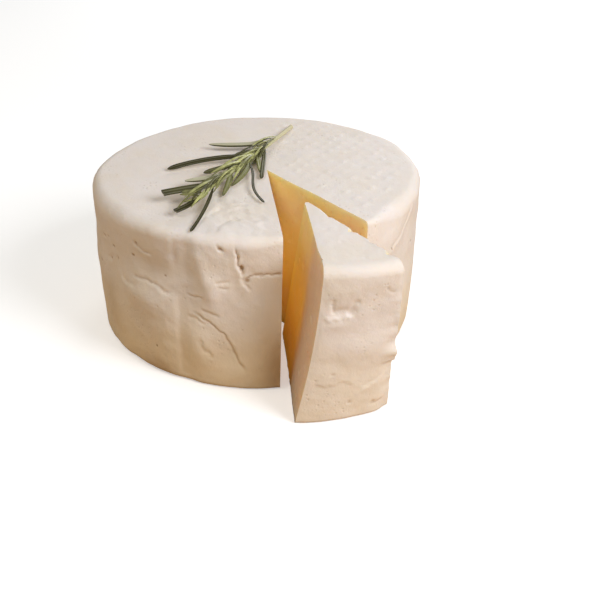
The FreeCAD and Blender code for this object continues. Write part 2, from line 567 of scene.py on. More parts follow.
@dataclass
class Book:
    """Adds nodes to one tree and links them."""

    tree: Tree

    def feed(self, node: Node, inputs: Inputs) -> Node:
        """Set a node's inputs.

        Args:
            node: The node.
            inputs: Values, or the sockets that feed them, by input name or number.

        Returns:
            The node.
        """
        for key, value in inputs.items():
            if isinstance(value, Socket):
                self.tree.links.new(value, node.inputs[key])
            else:
                node.inputs[key].default_value = value
        return node

    def add(self, kind: str, inputs: Inputs | None = None, **settings: object) -> Node:
        """Add a node.

        Args:
            kind: The node's type.
            inputs: Its inputs, as feed takes them.
            settings: Its properties.

        Returns:
            The node.
        """
        node = self.tree.nodes.new(kind)
        for name, value in settings.items():
            setattr(node, name, value)
        return self.feed(node, inputs or {})

    def maths(self, operation: str, *inputs: Input) -> Socket:
        """Output of a Math node on the given inputs."""
        return self.add("ShaderNodeMath", dict(enumerate(inputs)), operation=operation).outputs[0]

    def times(self, *factors: Input) -> Socket:
        """Product of two or more factors."""
        return reduce(lambda so_far, factor: self.maths("MULTIPLY", so_far, factor), factors)

    def plus(self, first: Input, second: Input) -> Socket:
        """Sum of two inputs."""
        return self.maths("ADD", first, second)

    def minus(self, first: Input, second: Input) -> Socket:
        """The first input less the second."""
        return self.maths("SUBTRACT", first, second)

    def over(self, first: Input, second: Input) -> Socket:
        """The first input divided by the second."""
        return self.maths("DIVIDE", first, second)

    def vector(self, **parts: Input) -> Socket:
        """A vector of its X, Y and Z."""
        return self.add("ShaderNodeCombineXYZ", parts).outputs[0]

    def parts(self, vector: Socket) -> dict[str, Socket]:
        """X, Y and Z of a vector."""
        return dict(self.add("ShaderNodeSeparateXYZ", {"Vector": vector}).outputs.items())

    def blend(self, factor: Input, first: Input, second: Input) -> Socket:
        """Output of a colour Mix node."""
        return self.add("ShaderNodeMix", {0: factor, 6: first, 7: second}, data_type="RGBA",
                        clamp_factor=True).outputs[2]

    def remap(self, value: Input, low: float, high: float, to_low: float = 0.0,
              to_high: float = 1.0) -> Socket:
        """Output of a smooth Map Range node."""
        return self.add("ShaderNodeMapRange", dict(enumerate((value, low, high, to_low, to_high))),
                        interpolation_type="SMOOTHSTEP").outputs[0]

    def clouds(self, place: Socket, scale: Input, detail: float, roughness: float = 0.5,
               distortion: float = 0.0) -> Socket:
        """Value of a Noise Texture node."""
        return self.add("ShaderNodeTexNoise", {
            "Vector": place, "Scale": scale, "Detail": detail, "Roughness": roughness,
            "Distortion": distortion}).outputs["Fac"]

    def random(self, low: float, high: float, seed: Input) -> Socket:
        """A value between low and high for each point."""
        return self.add("FunctionNodeRandomValue", {2: low, 3: high, "Seed": seed},
                        data_type="FLOAT").outputs[1]

    def carried(self, name: str) -> Socket:
        """A named value of the geometry, in a geometry tree."""
        return self.add("GeometryNodeInputNamedAttribute", {"Name": name}, data_type="FLOAT").outputs[0]

    def carry(self, geometry: Socket, name: str, value: Socket, domain: str = "POINT") -> Socket:
        """The geometry with a named value."""
        return self.add("GeometryNodeStoreNamedAttribute",
                        {"Geometry": geometry, "Name": name, "Value": value},
                        data_type="FLOAT", domain=domain).outputs["Geometry"]

    def close(self, outputs: Inputs) -> Tree:
        """Feed a group's outputs, by name, and give its tree."""
        self.feed(self.add("NodeGroupOutput"), outputs)
        return self.tree


NUMBERS = {float: "NodeSocketFloat", int: "NodeSocketInt"}
COLOUR = "NodeSocketColor"
VECTOR = "NodeSocketVector"
GEOMETRY = "NodeSocketGeometry"
MATERIAL = "NodeSocketMaterial"


def new_group(name: str, inputs: dict[str, str | float], outputs: dict[str, str],
              kind: str = "ShaderNodeTree") -> tuple[Book, dict[str, Socket]]:
    """Start a node group with named sockets.

    Args:
        name: The group's name.
        inputs: By name the start value of a number, or else the socket's type.
        outputs: Socket type by name.
        kind: The tree's type.

    Returns:
        The group's book, and its inputs by name.
    """
    tree = bpy.data.node_groups.new(name, kind)
    for label, start in inputs.items():
        number = NUMBERS.get(type(start))
        socket = tree.interface.new_socket(name=label, in_out="INPUT", socket_type=number or start)
        if number:
            socket.default_value = start
    for label, socket_type in outputs.items():
        tree.interface.new_socket(name=label, in_out="OUTPUT", socket_type=socket_type)
    book = Book(tree)
    return book, dict(book.add("NodeGroupInput").outputs.items())


@dataclass
class Effects:
    """Shader node groups that more than one finish uses, each built once."""

    grain: Tree = field(init=False)
    mottle: Tree = field(init=False)
    foot_bounce_mask: Tree = field(init=False)

    def __post_init__(self) -> None:
        """Build the groups."""
        self.grain = self.make_grain()
        self.mottle = self.make_mottle()
        self.foot_bounce_mask = self.make_foot_bounce_mask()

    @staticmethod
    def make_grain() -> Tree:
        """Fine curd grain: swells, grains and pores that add up to one height.

        Returns:
            The group, with Height and Pores outputs.
        """
        book, given = new_group(
            "curd_grain",
            {"Place": VECTOR, "Swell Size": 90.0, "Grain Size": 900.0, "Pore Size": 420.0, "Pore Share": 0.3},
            {"Height": NUMBERS[float], "Pores": NUMBERS[float]})
        place = given["Place"]
        swell = book.clouds(place, given["Swell Size"], 4.0, 0.55)
        grain = book.clouds(place, given["Grain Size"], 2.0, 0.6)
        cells = book.add("ShaderNodeTexVoronoi", {"Vector": place, "Scale": given["Pore Size"],
                                                  "Randomness": 1.0})
        near = book.remap(cells.outputs["Distance"], 0.05, 0.32, 1.0, 0.0)
        chosen = book.remap(book.clouds(place, 60.0, 1.0), 0.5, 0.68)
        pores = book.times(near, chosen)
        height = book.minus(book.plus(swell, book.times(grain, 0.35)), book.times(pores, given["Pore Share"]))
        return book.close({"Height": height, "Pores": pores})

    @staticmethod
    def make_mottle() -> Tree:
        """Soft blotches between two colours, with finer clouds in them.

        Returns:
            The group, with a Colour output.
        """
        book, given = new_group(
            "mottle", {"Place": VECTOR, "Size": 28.0, "Strength": 1.0, "First": COLOUR, "Second": COLOUR},
            {"Colour": COLOUR})
        broad = book.clouds(given["Place"], given["Size"], 3.0, 0.6, 0.4)
        fine = book.clouds(given["Place"], 340.0, 2.0)
        cloud = book.plus(book.remap(broad, 0.35, 0.68), book.times(fine, 0.3))
        share = book.times(cloud, given["Strength"])
        return book.close({"Colour": book.blend(share, given["First"], given["Second"])})

    @staticmethod
    def make_foot_bounce_mask() -> Tree:
        """Mask that grows towards the foot, with an uneven upper edge, where the finishes lay painted
        reflected light.

        Returns:
            The group, with a Mask output.
        """
        book, given = new_group(
            "painted_foot_bounce", {"Place": VECTOR, "Low": 0.0, "High": 0.06, "Uneven": 0.02},
            {"Mask": NUMBERS[float]})
        wave = book.times(book.minus(book.clouds(given["Place"], 30.0, 2.0), 0.5), given["Uneven"])
        below = book.minus(given["High"], book.plus(book.parts(given["Place"])["Z"], wave))
        share = book.over(below, book.minus(given["High"], given["Low"]))
        return book.close({"Mask": book.remap(share, 0.0, 1.0)})


@dataclass
class Coat(Book):
    """Book of one material, with its Principled shader, Object coordinates and the shared groups."""

    material: Material
    shader: Node
    place: Socket
    effects: Effects

    @classmethod
    def start(cls, name: str, effects: Effects) -> "Coat":
        """Start a material with a Principled shader.

        Args:
            name: The material's name.
            effects: The shared node groups.

        Returns:
            The material's book.
        """
        material = bpy.data.materials.new(name)
        material.use_nodes = True
        tree = material.node_tree
        shader = next(node for node in tree.nodes if node.type == "BSDF_PRINCIPLED")
        return cls(tree, material, shader, Book(tree).add("ShaderNodeTexCoord").outputs["Object"], effects)

    def value(self, name: str) -> Socket:
        """A named value of the mesh."""
        return self.add("ShaderNodeAttribute", attribute_name=name).outputs["Fac"]

    def group(self, tree: Tree, inputs: Inputs) -> dict[str, Socket]:
        """Outputs of a shared group, placed on the Object coordinates."""
        node = self.add("ShaderNodeGroup", {"Place": self.place, **inputs}, node_tree=tree)
        return dict(node.outputs.items())

    def mottle(self, size: float, strength: float, first: Input, second: Input) -> Socket:
        """Soft blotches between two colours."""
        return self.group(self.effects.mottle, {"Size": size, "Strength": strength, "First": first,
                                                "Second": second})["Colour"]

    def foot_bounce_mask(self, low: float, high: float, uneven: float) -> Socket:
        """Mask for painted reflected light, growing from a height down to a lower one."""
        return self.group(self.effects.foot_bounce_mask, {"Low": low, "High": high, "Uneven": uneven})["Mask"]

    def rough(self, height: Socket, middle: float) -> Socket:
        """Roughness about a middle value, lower where the grain is low."""
        return self.remap(height, 0.3, 1.1, middle - 0.08, middle + 0.12)

    def wear(self, height: Socket, strength: float, distance: float, inputs: Inputs) -> Material:
        """Bump the shader and set its other inputs.

        Args:
            height: Height of each place, about 0 to 1.
            strength: How strongly the bumps show.
            distance: Metres in one unit of height.
            inputs: The shader's other inputs, by name.

        Returns:
            The material.
        """
        bump = self.add("ShaderNodeBump", {"Height": height, "Strength": strength, "Distance": distance})
        self.feed(self.shader, {"Normal": bump.outputs["Normal"], **inputs})
        return self.material


@dataclass(frozen=True)
class RindFinish:
    """Moist, pale outside of the cheese, with painted warm light reflected onto its foot and painted shade in
    its hollows and pores.
    """

    pale: tuple = linear(240, 231, 226)
    cream: tuple = linear(238, 226, 213)
    # Colour of the painted warm light reflected onto the lower rind.
    painted_bounce: tuple = linear(242, 221, 182)
    # Colour of painted shade in creases, pits, flakes, pores and darker wall patches.
    hollow: tuple = linear(166, 128, 82)
    name: str = "rind"
    bounce_share: float = 0.82

    def material(self, effects: Effects) -> Material:
        """Make the finish.

        Args:
            effects: The shared node groups.

        Returns:
            The material.
        """
        coat = Coat.start(self.name, effects)
        base = coat.mottle(26.0, 0.75, self.pale, self.cream)
        # Warmer towards the foot: painted warm light reflected from below, with a little of the rind's own
        # yellower tone.
        foot = coat.times(coat.foot_bounce_mask(-0.005, 0.056, 0.03), self.bounce_share)
        bounce_painted = coat.blend(foot, base, self.painted_bounce)
        # Painted shade: creases, pits, flakes and tinted wall patches darken towards the hollow colour by
        # their hollow value.
        shade_painted = coat.blend(coat.remap(coat.value("hollow"), 0.1, 1.0, 0.0, 0.8), bounce_painted, self.hollow)
        grain = coat.group(effects.grain, {"Pore Share": 0.5})
        # Painted shade in the pores.
        rind_pores_shaded = coat.blend(coat.times(grain["Pores"], 0.18), shade_painted, self.hollow)
        return coat.wear(grain["Height"], 0.35, 0.0009, {
            "Base Color": rind_pores_shaded, "Roughness": coat.rough(grain["Height"], 0.6),
            "Subsurface Weight": 0.22, "Subsurface Radius": (1.0, 0.8, 0.55), "Subsurface Scale": 0.004,
            "Specular IOR Level": 0.18})


@dataclass(frozen=True)
class PasteFinish:
    """Cut face of the cheese: close-textured, with painted golden reflected light that deepens towards the
    foot and fades to the pale paste towards the outside, and a painted glow.
    """

    # Colours of painted golden light reflected into the notch, deeper near the foot; pale is the paste's own
    # colour.
    gold: tuple = linear(252, 226, 166)
    deep: tuple = linear(252, 196, 90)
    pale: tuple = linear(240, 214, 188)
    pore_shade: tuple = linear(226, 160, 80)
    painted_glow: tuple = linear(180, 148, 58)

    def material(self, effects: Effects) -> Material:
        """Make the finish.

        Args:
            effects: The shared node groups.

        Returns:
            The material.
        """
        coat = Coat.start("paste", effects)
        foot = coat.foot_bounce_mask(0.0, 0.072, 0.012)
        # Painted golden reflected light, laid by the gold value and deepened towards the foot.
        share = coat.value("gold")
        bounce_toned = coat.blend(share, self.pale, coat.blend(foot, self.gold, self.deep))
        cloud = coat.mottle(55.0, 0.35, bounce_toned, self.pale)
        grain = coat.group(effects.grain, {"Swell Size": 140.0, "Pore Size": 300.0, "Pore Share": 0.8})
        # Painted shade in the pores.
        paste_pores_shaded = coat.blend(coat.times(grain["Pores"], 0.3), cloud, self.pore_shade)
        # Painted glow: the paste deep in the notch and above the foot gives off a little golden light,
        # standing in for light reflected into the notch.
        low = coat.times(coat.remap(foot, 0.0, 0.4), coat.remap(foot, 0.55, 1.0, 1.0, 0.45))
        inner = coat.times(coat.remap(share, 0.35, 1.0), low)
        return coat.wear(grain["Height"], 0.3, 0.0008, {
            "Base Color": paste_pores_shaded, "Roughness": coat.rough(grain["Height"], 0.46),
            "Emission Color": coat.blend(inner, (0.0, 0.0, 0.0, 1.0), self.painted_glow), "Emission Strength": 0.2,
            "Subsurface Weight": 0.8, "Subsurface Radius": (1.0, 0.8, 0.5), "Subsurface Scale": 0.012,
            "Specular IOR Level": 0.35})


@dataclass(frozen=True)
class NeedleFinish:
    """Rosemary needle: dark and glossy above with a painted highlight along its middle, pale and felted
    below.
    """

    dark: tuple = linear(56, 52, 18)
    fresh: tuple = linear(202, 202, 130)
    felt: tuple = linear(204, 200, 172)
    margin: tuple = linear(52, 48, 24)

    def material(self, effects: Effects) -> Material:
        """Make the finish.

        Args:
            effects: The shared node groups.

        Returns:
            The material.
        """
        coat = Coat.start("needle", effects)
        below = coat.value("below")
        upper = coat.blend(coat.value("tint"), self.dark, self.fresh)
        cloud = coat.mottle(380.0, 0.35, upper, self.dark)
        tipped = coat.blend(coat.remap(coat.value("along"), 0.8, 1.0, 0.0, 0.55), cloud, self.margin)
        # Painted highlight: a pale line along the middle of each needle's upper side.
        highlighted = coat.blend(coat.times(coat.value("ridge_highlight"), 0.22), tipped, self.felt)
        sided = coat.blend(coat.times(below, 0.8), highlighted, self.felt)
        grain = coat.group(effects.grain, {"Swell Size": 900.0, "Grain Size": 2600.0, "Pore Share": 0.0})
        return coat.wear(grain["Height"], 0.3, 0.0002, {
            "Base Color": sided, "Roughness": coat.remap(below, 0.0, 1.0, 0.42, 0.8),
            "Specular IOR Level": 0.3})


@dataclass(frozen=True)
class StemFinish:
    """Young woody stem: pale brown-green with length-wise streaks."""

    bark: tuple = linear(206, 196, 158)
    green: tuple = linear(170, 178, 112)

    def material(self, effects: Effects) -> Material:
        """Make the finish.

        Args:
            effects: The shared node groups.

        Returns:
            The material.
        """
        coat = Coat.start("stem", effects)
        body = coat.blend(coat.remap(coat.value("along"), 0.05, 0.6), self.bark, self.green)
        grain = coat.group(effects.grain, {"Swell Size": 800.0, "Grain Size": 2400.0, "Pore Share": 0.0})
        return coat.wear(grain["Height"], 0.5, 0.0003, {
            "Base Color": coat.mottle(700.0, 0.6, body, self.bark), "Roughness": 0.62})


# ------------ geometry trees


def take_mesh(carrier: Piece, tree: Tree, name: str, values: dict[str, object]) -> Piece:
    """Run a geometry tree on an object and keep the result as a plain mesh.

    Args:
        carrier: The object that goes into the tree. It is removed.
        tree: The geometry tree.
        name: The finished piece's name.
        values: The tree's inputs, by name.

    Returns:
        The finished piece, with no modifier.
    """
    modifier = carrier.modifiers.new("shape", "NODES")
    modifier.node_group = tree
    for item in tree.interface.items_tree:
        if item.in_out == "INPUT" and item.name in values:
            modifier[item.identifier] = values[item.name]
    bpy.context.view_layer.update()
    graph = bpy.context.evaluated_depsgraph_get()
    mesh = bpy.data.meshes.new_from_object(carrier.evaluated_get(graph), depsgraph=graph)
    mesh.name = name
    bpy.data.objects.remove(carrier)
    return put(name, mesh)


def new_shape(name: str, inputs: dict[str, str | float]) -> tuple[Book, dict[str, Socket]]:
    """Start a geometry tree as new_group does, with a geometry and a finish among its inputs."""
    return new_group(name, {"Geometry": GEOMETRY, **inputs, "Finish": MATERIAL}, {"Geometry": GEOMETRY},
                     "GeometryNodeTree")


def finish_tree(book: Book, shape: Socket, material: Socket, chosen: Input = True) -> Tree:
    """End a geometry tree in Realize Instances and Set Material.

    Args:
        book: The tree's book.
        shape: The geometry so far.
        material: The finish.
        chosen: Which faces take it.

    Returns:
        The tree.
    """
    real = book.add("GeometryNodeRealizeInstances", {"Geometry": shape}).outputs["Geometry"]
    inputs = {"Geometry": real, "Material": material, "Selection": chosen}
    return book.close({"Geometry": book.add("GeometryNodeSetMaterial", inputs).outputs["Geometry"]})


def in_rows(book: Book, place: Socket) -> tuple[Socket, Socket]:
    """Number of the row, one unit wide, that each place lies in, and its distance from the row's middle."""
    number = book.maths("FLOOR", place)
    return number, book.maths("ABSOLUTE", book.minus(book.minus(place, number), 0.5))


def imprint_tree() -> Tree:
    """Tree that presses a mat's rows of short stitches into a top.

    The geometry's "press" value says how strongly each point takes the print.

    Returns:
        The tree.
    """
    book, given = new_shape("mat_imprint", {
        "Row Spacing": 0.0066, "Stitch Pitch": 0.0070, "Row Heading": radians(58.0), "Depth": 0.0003,
        "Wander": 0.0014})
    place = book.add("GeometryNodeInputPosition").outputs["Position"]
    drift = book.add("ShaderNodeTexNoise", {"Vector": place, "Scale": 55.0, "Detail": 2.0})
    centred = book.add("ShaderNodeVectorMath", {0: drift.outputs["Color"], 1: (0.5, 0.5, 0.5)},
                       operation="SUBTRACT")
    sway = book.add("ShaderNodeVectorMath", {0: centred.outputs[0],
                                             "Scale": book.times(given["Wander"], 4.0)}, operation="SCALE")
    moved = book.add("ShaderNodeVectorMath", {0: place, 1: sway.outputs[0]}, operation="ADD")
    turned = book.add("ShaderNodeVectorRotate", {"Vector": moved.outputs[0],
                                                 "Angle": book.times(given["Row Heading"], -1.0)},
                      rotation_type="Z_AXIS")
    along_row = book.parts(turned.outputs[0])
    row, across = in_rows(book, book.over(along_row["Y"], given["Row Spacing"]))
    shift = book.times(book.maths("FLOORED_MODULO", row, 2.0), 0.5)
    stitch, along = in_rows(book, book.plus(book.over(along_row["X"], given["Stitch Pitch"]), shift))
    ridge = book.times(book.remap(across, 0.04, 0.3, 1.0, 0.0), book.remap(along, 0.1, 0.42, 1.0, 0.0))
    chance = book.add("ShaderNodeTexWhiteNoise", {"Vector": book.vector(X=stitch, Y=row)},
                      noise_dimensions="3D")
    uneven = book.remap(chance.outputs["Value"], 0.0, 1.0, 0.25, 1.0)
    rise = book.times(ridge, uneven, book.carried("press"), given["Depth"])
    pressed = book.add("GeometryNodeSetPosition", {"Geometry": given["Geometry"],
                                                   "Offset": book.vector(Z=rise)})
    index = book.add("GeometryNodeInputMaterialIndex").outputs["Material Index"]
    outside = book.maths("LESS_THAN", index, 0.5)
    return finish_tree(book, pressed.outputs["Geometry"], given["Finish"], outside)


def leaf_section(book: Book, flat: Input, groove: Input, points: int) -> Socket:
    """Add the outline of a needle cut across: domed and grooved above, hollow below with rolled edges.

    Args:
        book: The tree's book.
        flat: Thickness as a share of the width.
        groove: Depth of the groove above, as a share of the half width.
        points: Points round the outline.

    Returns:
        The outline, a closed curve one unit in radius.
    """
    ring = book.add("GeometryNodeCurvePrimitiveCircle", {"Resolution": points, "Radius": 1.0}, mode="RADIUS")
    spot = book.parts(book.add("GeometryNodeInputPosition").outputs["Position"])
    side, height = spot["X"], spot["Y"]
    off_middle = book.maths("ABSOLUTE", side)
    middle = book.remap(off_middle, 0.0, 0.6, 1.0, 0.0)
    above = book.maths("GREATER_THAN", height, 0.01)
    hollow = book.times(book.minus(1.0, above), 0.35)
    domed = book.minus(book.times(height, flat), book.times(middle, groove, above))
    shaped = book.plus(domed, book.times(book.times(middle, hollow), flat))
    under = book.carry(ring.outputs["Curve"], "below", book.remap(height, -0.65, -0.35, 1.0, 0.0))
    # A value for the painted highlight along the middle of the upper side.
    highlighted = book.carry(under, "ridge_highlight", book.times(book.remap(off_middle, 0.0, 0.3, 1.0, 0.0), above))
    return book.add("GeometryNodeSetPosition", {
        "Geometry": highlighted, "Position": book.vector(X=side, Y=shaped)}).outputs["Geometry"]


def curve_of(book: Book, mesh: Socket) -> Socket:
    """Turn the lines of a mesh into curves."""
    return book.add("GeometryNodeMeshToCurve", {"Mesh": mesh}).outputs["Curve"]


def swept_mesh(book: Book, curve: Socket, section: Socket, radius: Socket) -> Socket:
    """Sweep a section, scaled by the radius at each point, along curves with closed ends."""
    return book.add("GeometryNodeCurveToMesh", {"Curve": curve, "Profile Curve": section, "Scale": radius,
                                                "Fill Caps": True}).outputs["Mesh"]


def sweep(book: Book, lines: Socket, section: Socket) -> Socket:
    """Sweep a section upright along lines that carry a "half_width" value.

    Args:
        book: The tree's book.
        lines: The curves.
        section: The outline that is swept, one unit in radius.

    Returns:
        The swept mesh, smooth, with an "along" value from 0 to 1.
    """
    upright = book.add("GeometryNodeSetCurveNormal", {"Curve": lines}, mode="Z_UP").outputs["Curve"]
    marked = book.carry(upright, "along", book.add("GeometryNodeSplineParameter").outputs["Factor"])
    swept = swept_mesh(book, marked, section, book.carried("half_width"))
    return book.add("GeometryNodeSetShadeSmooth", {"Geometry": swept}).outputs["Geometry"]


def needle_tree() -> Tree:
    """Tree that grows a needle along each middle line, turned by its "roll" value.

    Returns:
        The tree.
    """
    book, given = new_shape("needle_sweep", {"Flatness": 0.5, "Groove": 0.2})
    tilted = book.add("GeometryNodeSetCurveTilt", {"Curve": curve_of(book, given["Geometry"]),
                                                   "Tilt": book.plus(book.carried("roll"), pi)})
    section = leaf_section(book, given["Flatness"], given["Groove"], 32)
    return finish_tree(book, sweep(book, tilted.outputs["Curve"], section), given["Finish"])


def stem_tree() -> Tree:
    """Tree that grows the round stem along its middle line.

    Returns:
        The tree.
    """
    book, given = new_shape("stem_sweep", {"Sides": 14})
    ring = book.add("GeometryNodeCurvePrimitiveCircle", {"Resolution": given["Sides"], "Radius": 1.0},
                    mode="RADIUS")
    swept = sweep(book, curve_of(book, given["Geometry"]), ring.outputs["Curve"])
    return finish_tree(book, swept, given["Finish"])


def young_leaf(book: Book, slimness: Socket) -> Socket:
    """Add one young leaf, one unit long along +Z and arched towards +Y.

    Args:
        book: The tree's book.
        slimness: Its half width as a share of its length.

    Returns:
        The leaf.
    """
    points = 14
    line = book.add("GeometryNodeMeshLine", {"Count": points, "Start Location": (0.0, 0.0, 0.0),
                                             "Offset": (0.0, 0.0, 1.0 / (points - 1))}, mode="OFFSET")
    share = book.add("GeometryNodeSplineParameter").outputs["Factor"]
    swell = book.add("ShaderNodeFloatCurve", {"Value": share})
    knots = swell.mapping.curves[0].points
    knots[0].location = (0.0, 0.42)
    knots[1].location = (1.0, 0.06)
    for at, wide in ((0.28, 0.95), (0.6, 1.0), (0.85, 0.7), (0.95, 0.4)):
        knots.new(at, wide)
    swell.mapping.update()
    radius = book.times(swell.outputs["Value"], slimness)
    arch = book.times(share, book.minus(1.0, share), 0.32)
    bent = book.add("GeometryNodeSetPosition", {"Geometry": curve_of(book, line.outputs["Mesh"]),
                                                "Offset": book.vector(Y=arch)})
    marked = book.carry(bent.outputs["Geometry"], "along", share)
    return swept_mesh(book, marked, leaf_section(book, 0.42, 0.22, points), radius)


def shoot_tree() -> Tree:
    """Tree that sets broad young leaves along the stem, left and right in turn.

    Returns:
        The tree.
    """
    book, given = new_shape("young_leaves", {
        "Count": 44, "Length": 0.025, "Half Width": 0.00058, "Spread": radians(8.0), "Lift": radians(4.0),
        "From": 0.17, "To": 0.84, "Seed": 3})
    seed = given["Seed"]
    trimmed = book.add("GeometryNodeTrimCurve", {"Curve": curve_of(book, given["Geometry"]),
                                                 2: given["From"], 3: given["To"]}, mode="FACTOR")
    spots = book.add("GeometryNodeCurveToPoints", {"Curve": trimmed.outputs["Curve"],
                                                   "Count": given["Count"]}, mode="COUNT").outputs
    leaf = young_leaf(book, book.over(given["Half Width"], given["Length"]))
    green = book.add("GeometryNodeSetMaterial", {"Geometry": leaf, "Material": given["Finish"]})
    smooth = book.add("GeometryNodeSetShadeSmooth", {"Geometry": green.outputs["Geometry"]})
    number = book.add("GeometryNodeInputIndex").outputs["Index"]
    turn_about = book.minus(book.times(book.maths("FLOORED_MODULO", number, 2.0), 2.0), 1.0)
    side_angle = book.times(turn_about, book.random(0.35, 1.25, seed), given["Spread"])
    lift_angle = book.times(book.random(-0.4, 1.3, book.plus(seed, 1.0)), given["Lift"])
    aimed = book.add("FunctionNodeAxesToRotation", {"Primary Axis": spots["Tangent"],
                                                    "Secondary Axis": (0.0, 0.0, 1.0)},
                     primary_axis="Z", secondary_axis="Y")
    swing = book.add("FunctionNodeEulerToRotation", {"Euler": book.vector(
        X=book.times(lift_angle, -1.0), Y=side_angle, Z=book.random(-0.5, 0.5, book.plus(seed, 2.0)))})
    final = book.add("FunctionNodeRotateRotation", {"Rotation": aimed.outputs["Rotation"],
                                                    "Rotate By": swing.outputs["Rotation"]},
                     rotation_space="LOCAL")
    size = book.times(book.random(0.75, 1.25, book.plus(seed, 3.0)), given["Length"])
    placed = book.add("GeometryNodeInstanceOnPoints", {
        "Points": spots["Points"], "Instance": smooth.outputs["Geometry"],
        "Rotation": final.outputs["Rotation"], "Scale": size}).outputs["Instances"]
    tint = book.random(0.0, 1.2, book.plus(seed, 4.0))
    return finish_tree(book, book.carry(placed, "tint", tint, "INSTANCE"), given["Finish"])


def line_mesh(name: str, lines: Sequence[dict[str, Array]]) -> Piece:
    """Make open lines of points that carry values, for a geometry tree to grow along.

    Args:
        name: The object's name.
        lines: For each line its "places" in millimetres and its other values, one for each point.

    Returns:
        The object.
    """
    edges = []
    first = 0
    for line in lines:
        last = first + len(line["places"])
        edges += [(point, point + 1) for point in range(first, last - 1)]
        first = last
    together = {key: np.concatenate([line[key] for line in lines]) for key in lines[0]}
    return new_mesh(name, together.pop("places"), edges, [], together)


# ------------ the cheese


def plan_step(heading: float) -> Array:
    """One millimetre along a heading, in plan."""
    return np.array([cos(radians(heading)), sin(radians(heading))])


def unit(vectors: Array) -> Array:
    """Each vector at unit length."""
    return vectors / np.linalg.norm(vectors, axis=-1, keepdims=True)


def turned_left(vectors: Array) -> Array:
    """Each plan vector turned a quarter turn to the left."""
    return np.stack([-vectors[..., 1], vectors[..., 0]], -1)


def pushed(plan: Array, amount: Array, direction: Array) -> Array:
    """Places in rows and columns, each moved by its amount along its row's direction."""
    return plan + amount[..., None] * direction[:, None]


def between(start: Array, end: Array, shares: Array) -> Array:
    """Points between each row's two ends, at a share of the way for each column."""
    return start[:, None] + (end - start)[:, None] * shares[None, :, None]


def column_noise(values: Array, cell: float, seed: int) -> Array:
    """Noise along one line."""
    return layered_noise(level(values), cell, 2, seed)


@dataclass(frozen=True)
class Face:
    """A cut face: its heading from the notch's apex, and the side its notch is on, 1 left and -1 right."""

    heading: float
    side: int

    def inward(self) -> Array:
        """Unit normal of the face, into the notch."""
        turned = radians(self.heading) + self.side * pi / 2
        return np.array([cos(turned), sin(turned)])


@dataclass(frozen=True)
class Notch:
    """The V that the wedge was cut from: its apex and its two faces."""

    apex: Pair = (4.0, -2.4)
    left: Face = Face(-82.4, 1)
    right: Face = Face(-51.9, -1)

    def corner(self) -> Array:
        """Where the two faces meet, in plan."""
        return np.array(self.apex)

    def between(self, left_gap: Array, right_gap: Array) -> Array:
        """Points at a gap from each face's plane.

        Args:
            left_gap: Gap from the left face, one for each point.
            right_gap: Gap from the right face.

        Returns:
            One row of two for each point.
        """
        left, right = self.left.inward(), self.right.inward()
        shared = float(left @ right)
        left_share = (left_gap - shared * right_gap) / (1 - shared ** 2)
        right_share = (right_gap - shared * left_gap) / (1 - shared ** 2)
        return self.corner() + left_share[:, None] * left + right_share[:, None] * right

    def beside(self, face: Face, gap: Array, out: Array) -> Array:
        """Points at a gap from one face's plane and a distance from the wheel's axis.

        Args:
            face: The face.
            gap: Gap from its plane, one for each point.
            out: Distance from the axis.

        Returns:
            One row of two for each point.
        """
        foot = self.corner() + gap[:, None] * face.inward()
        run = plan_step(face.heading)
        along = foot @ run
        reach = np.sqrt(along ** 2 - (foot * foot).sum(1) + out ** 2) - along
        return foot + reach[:, None] * run


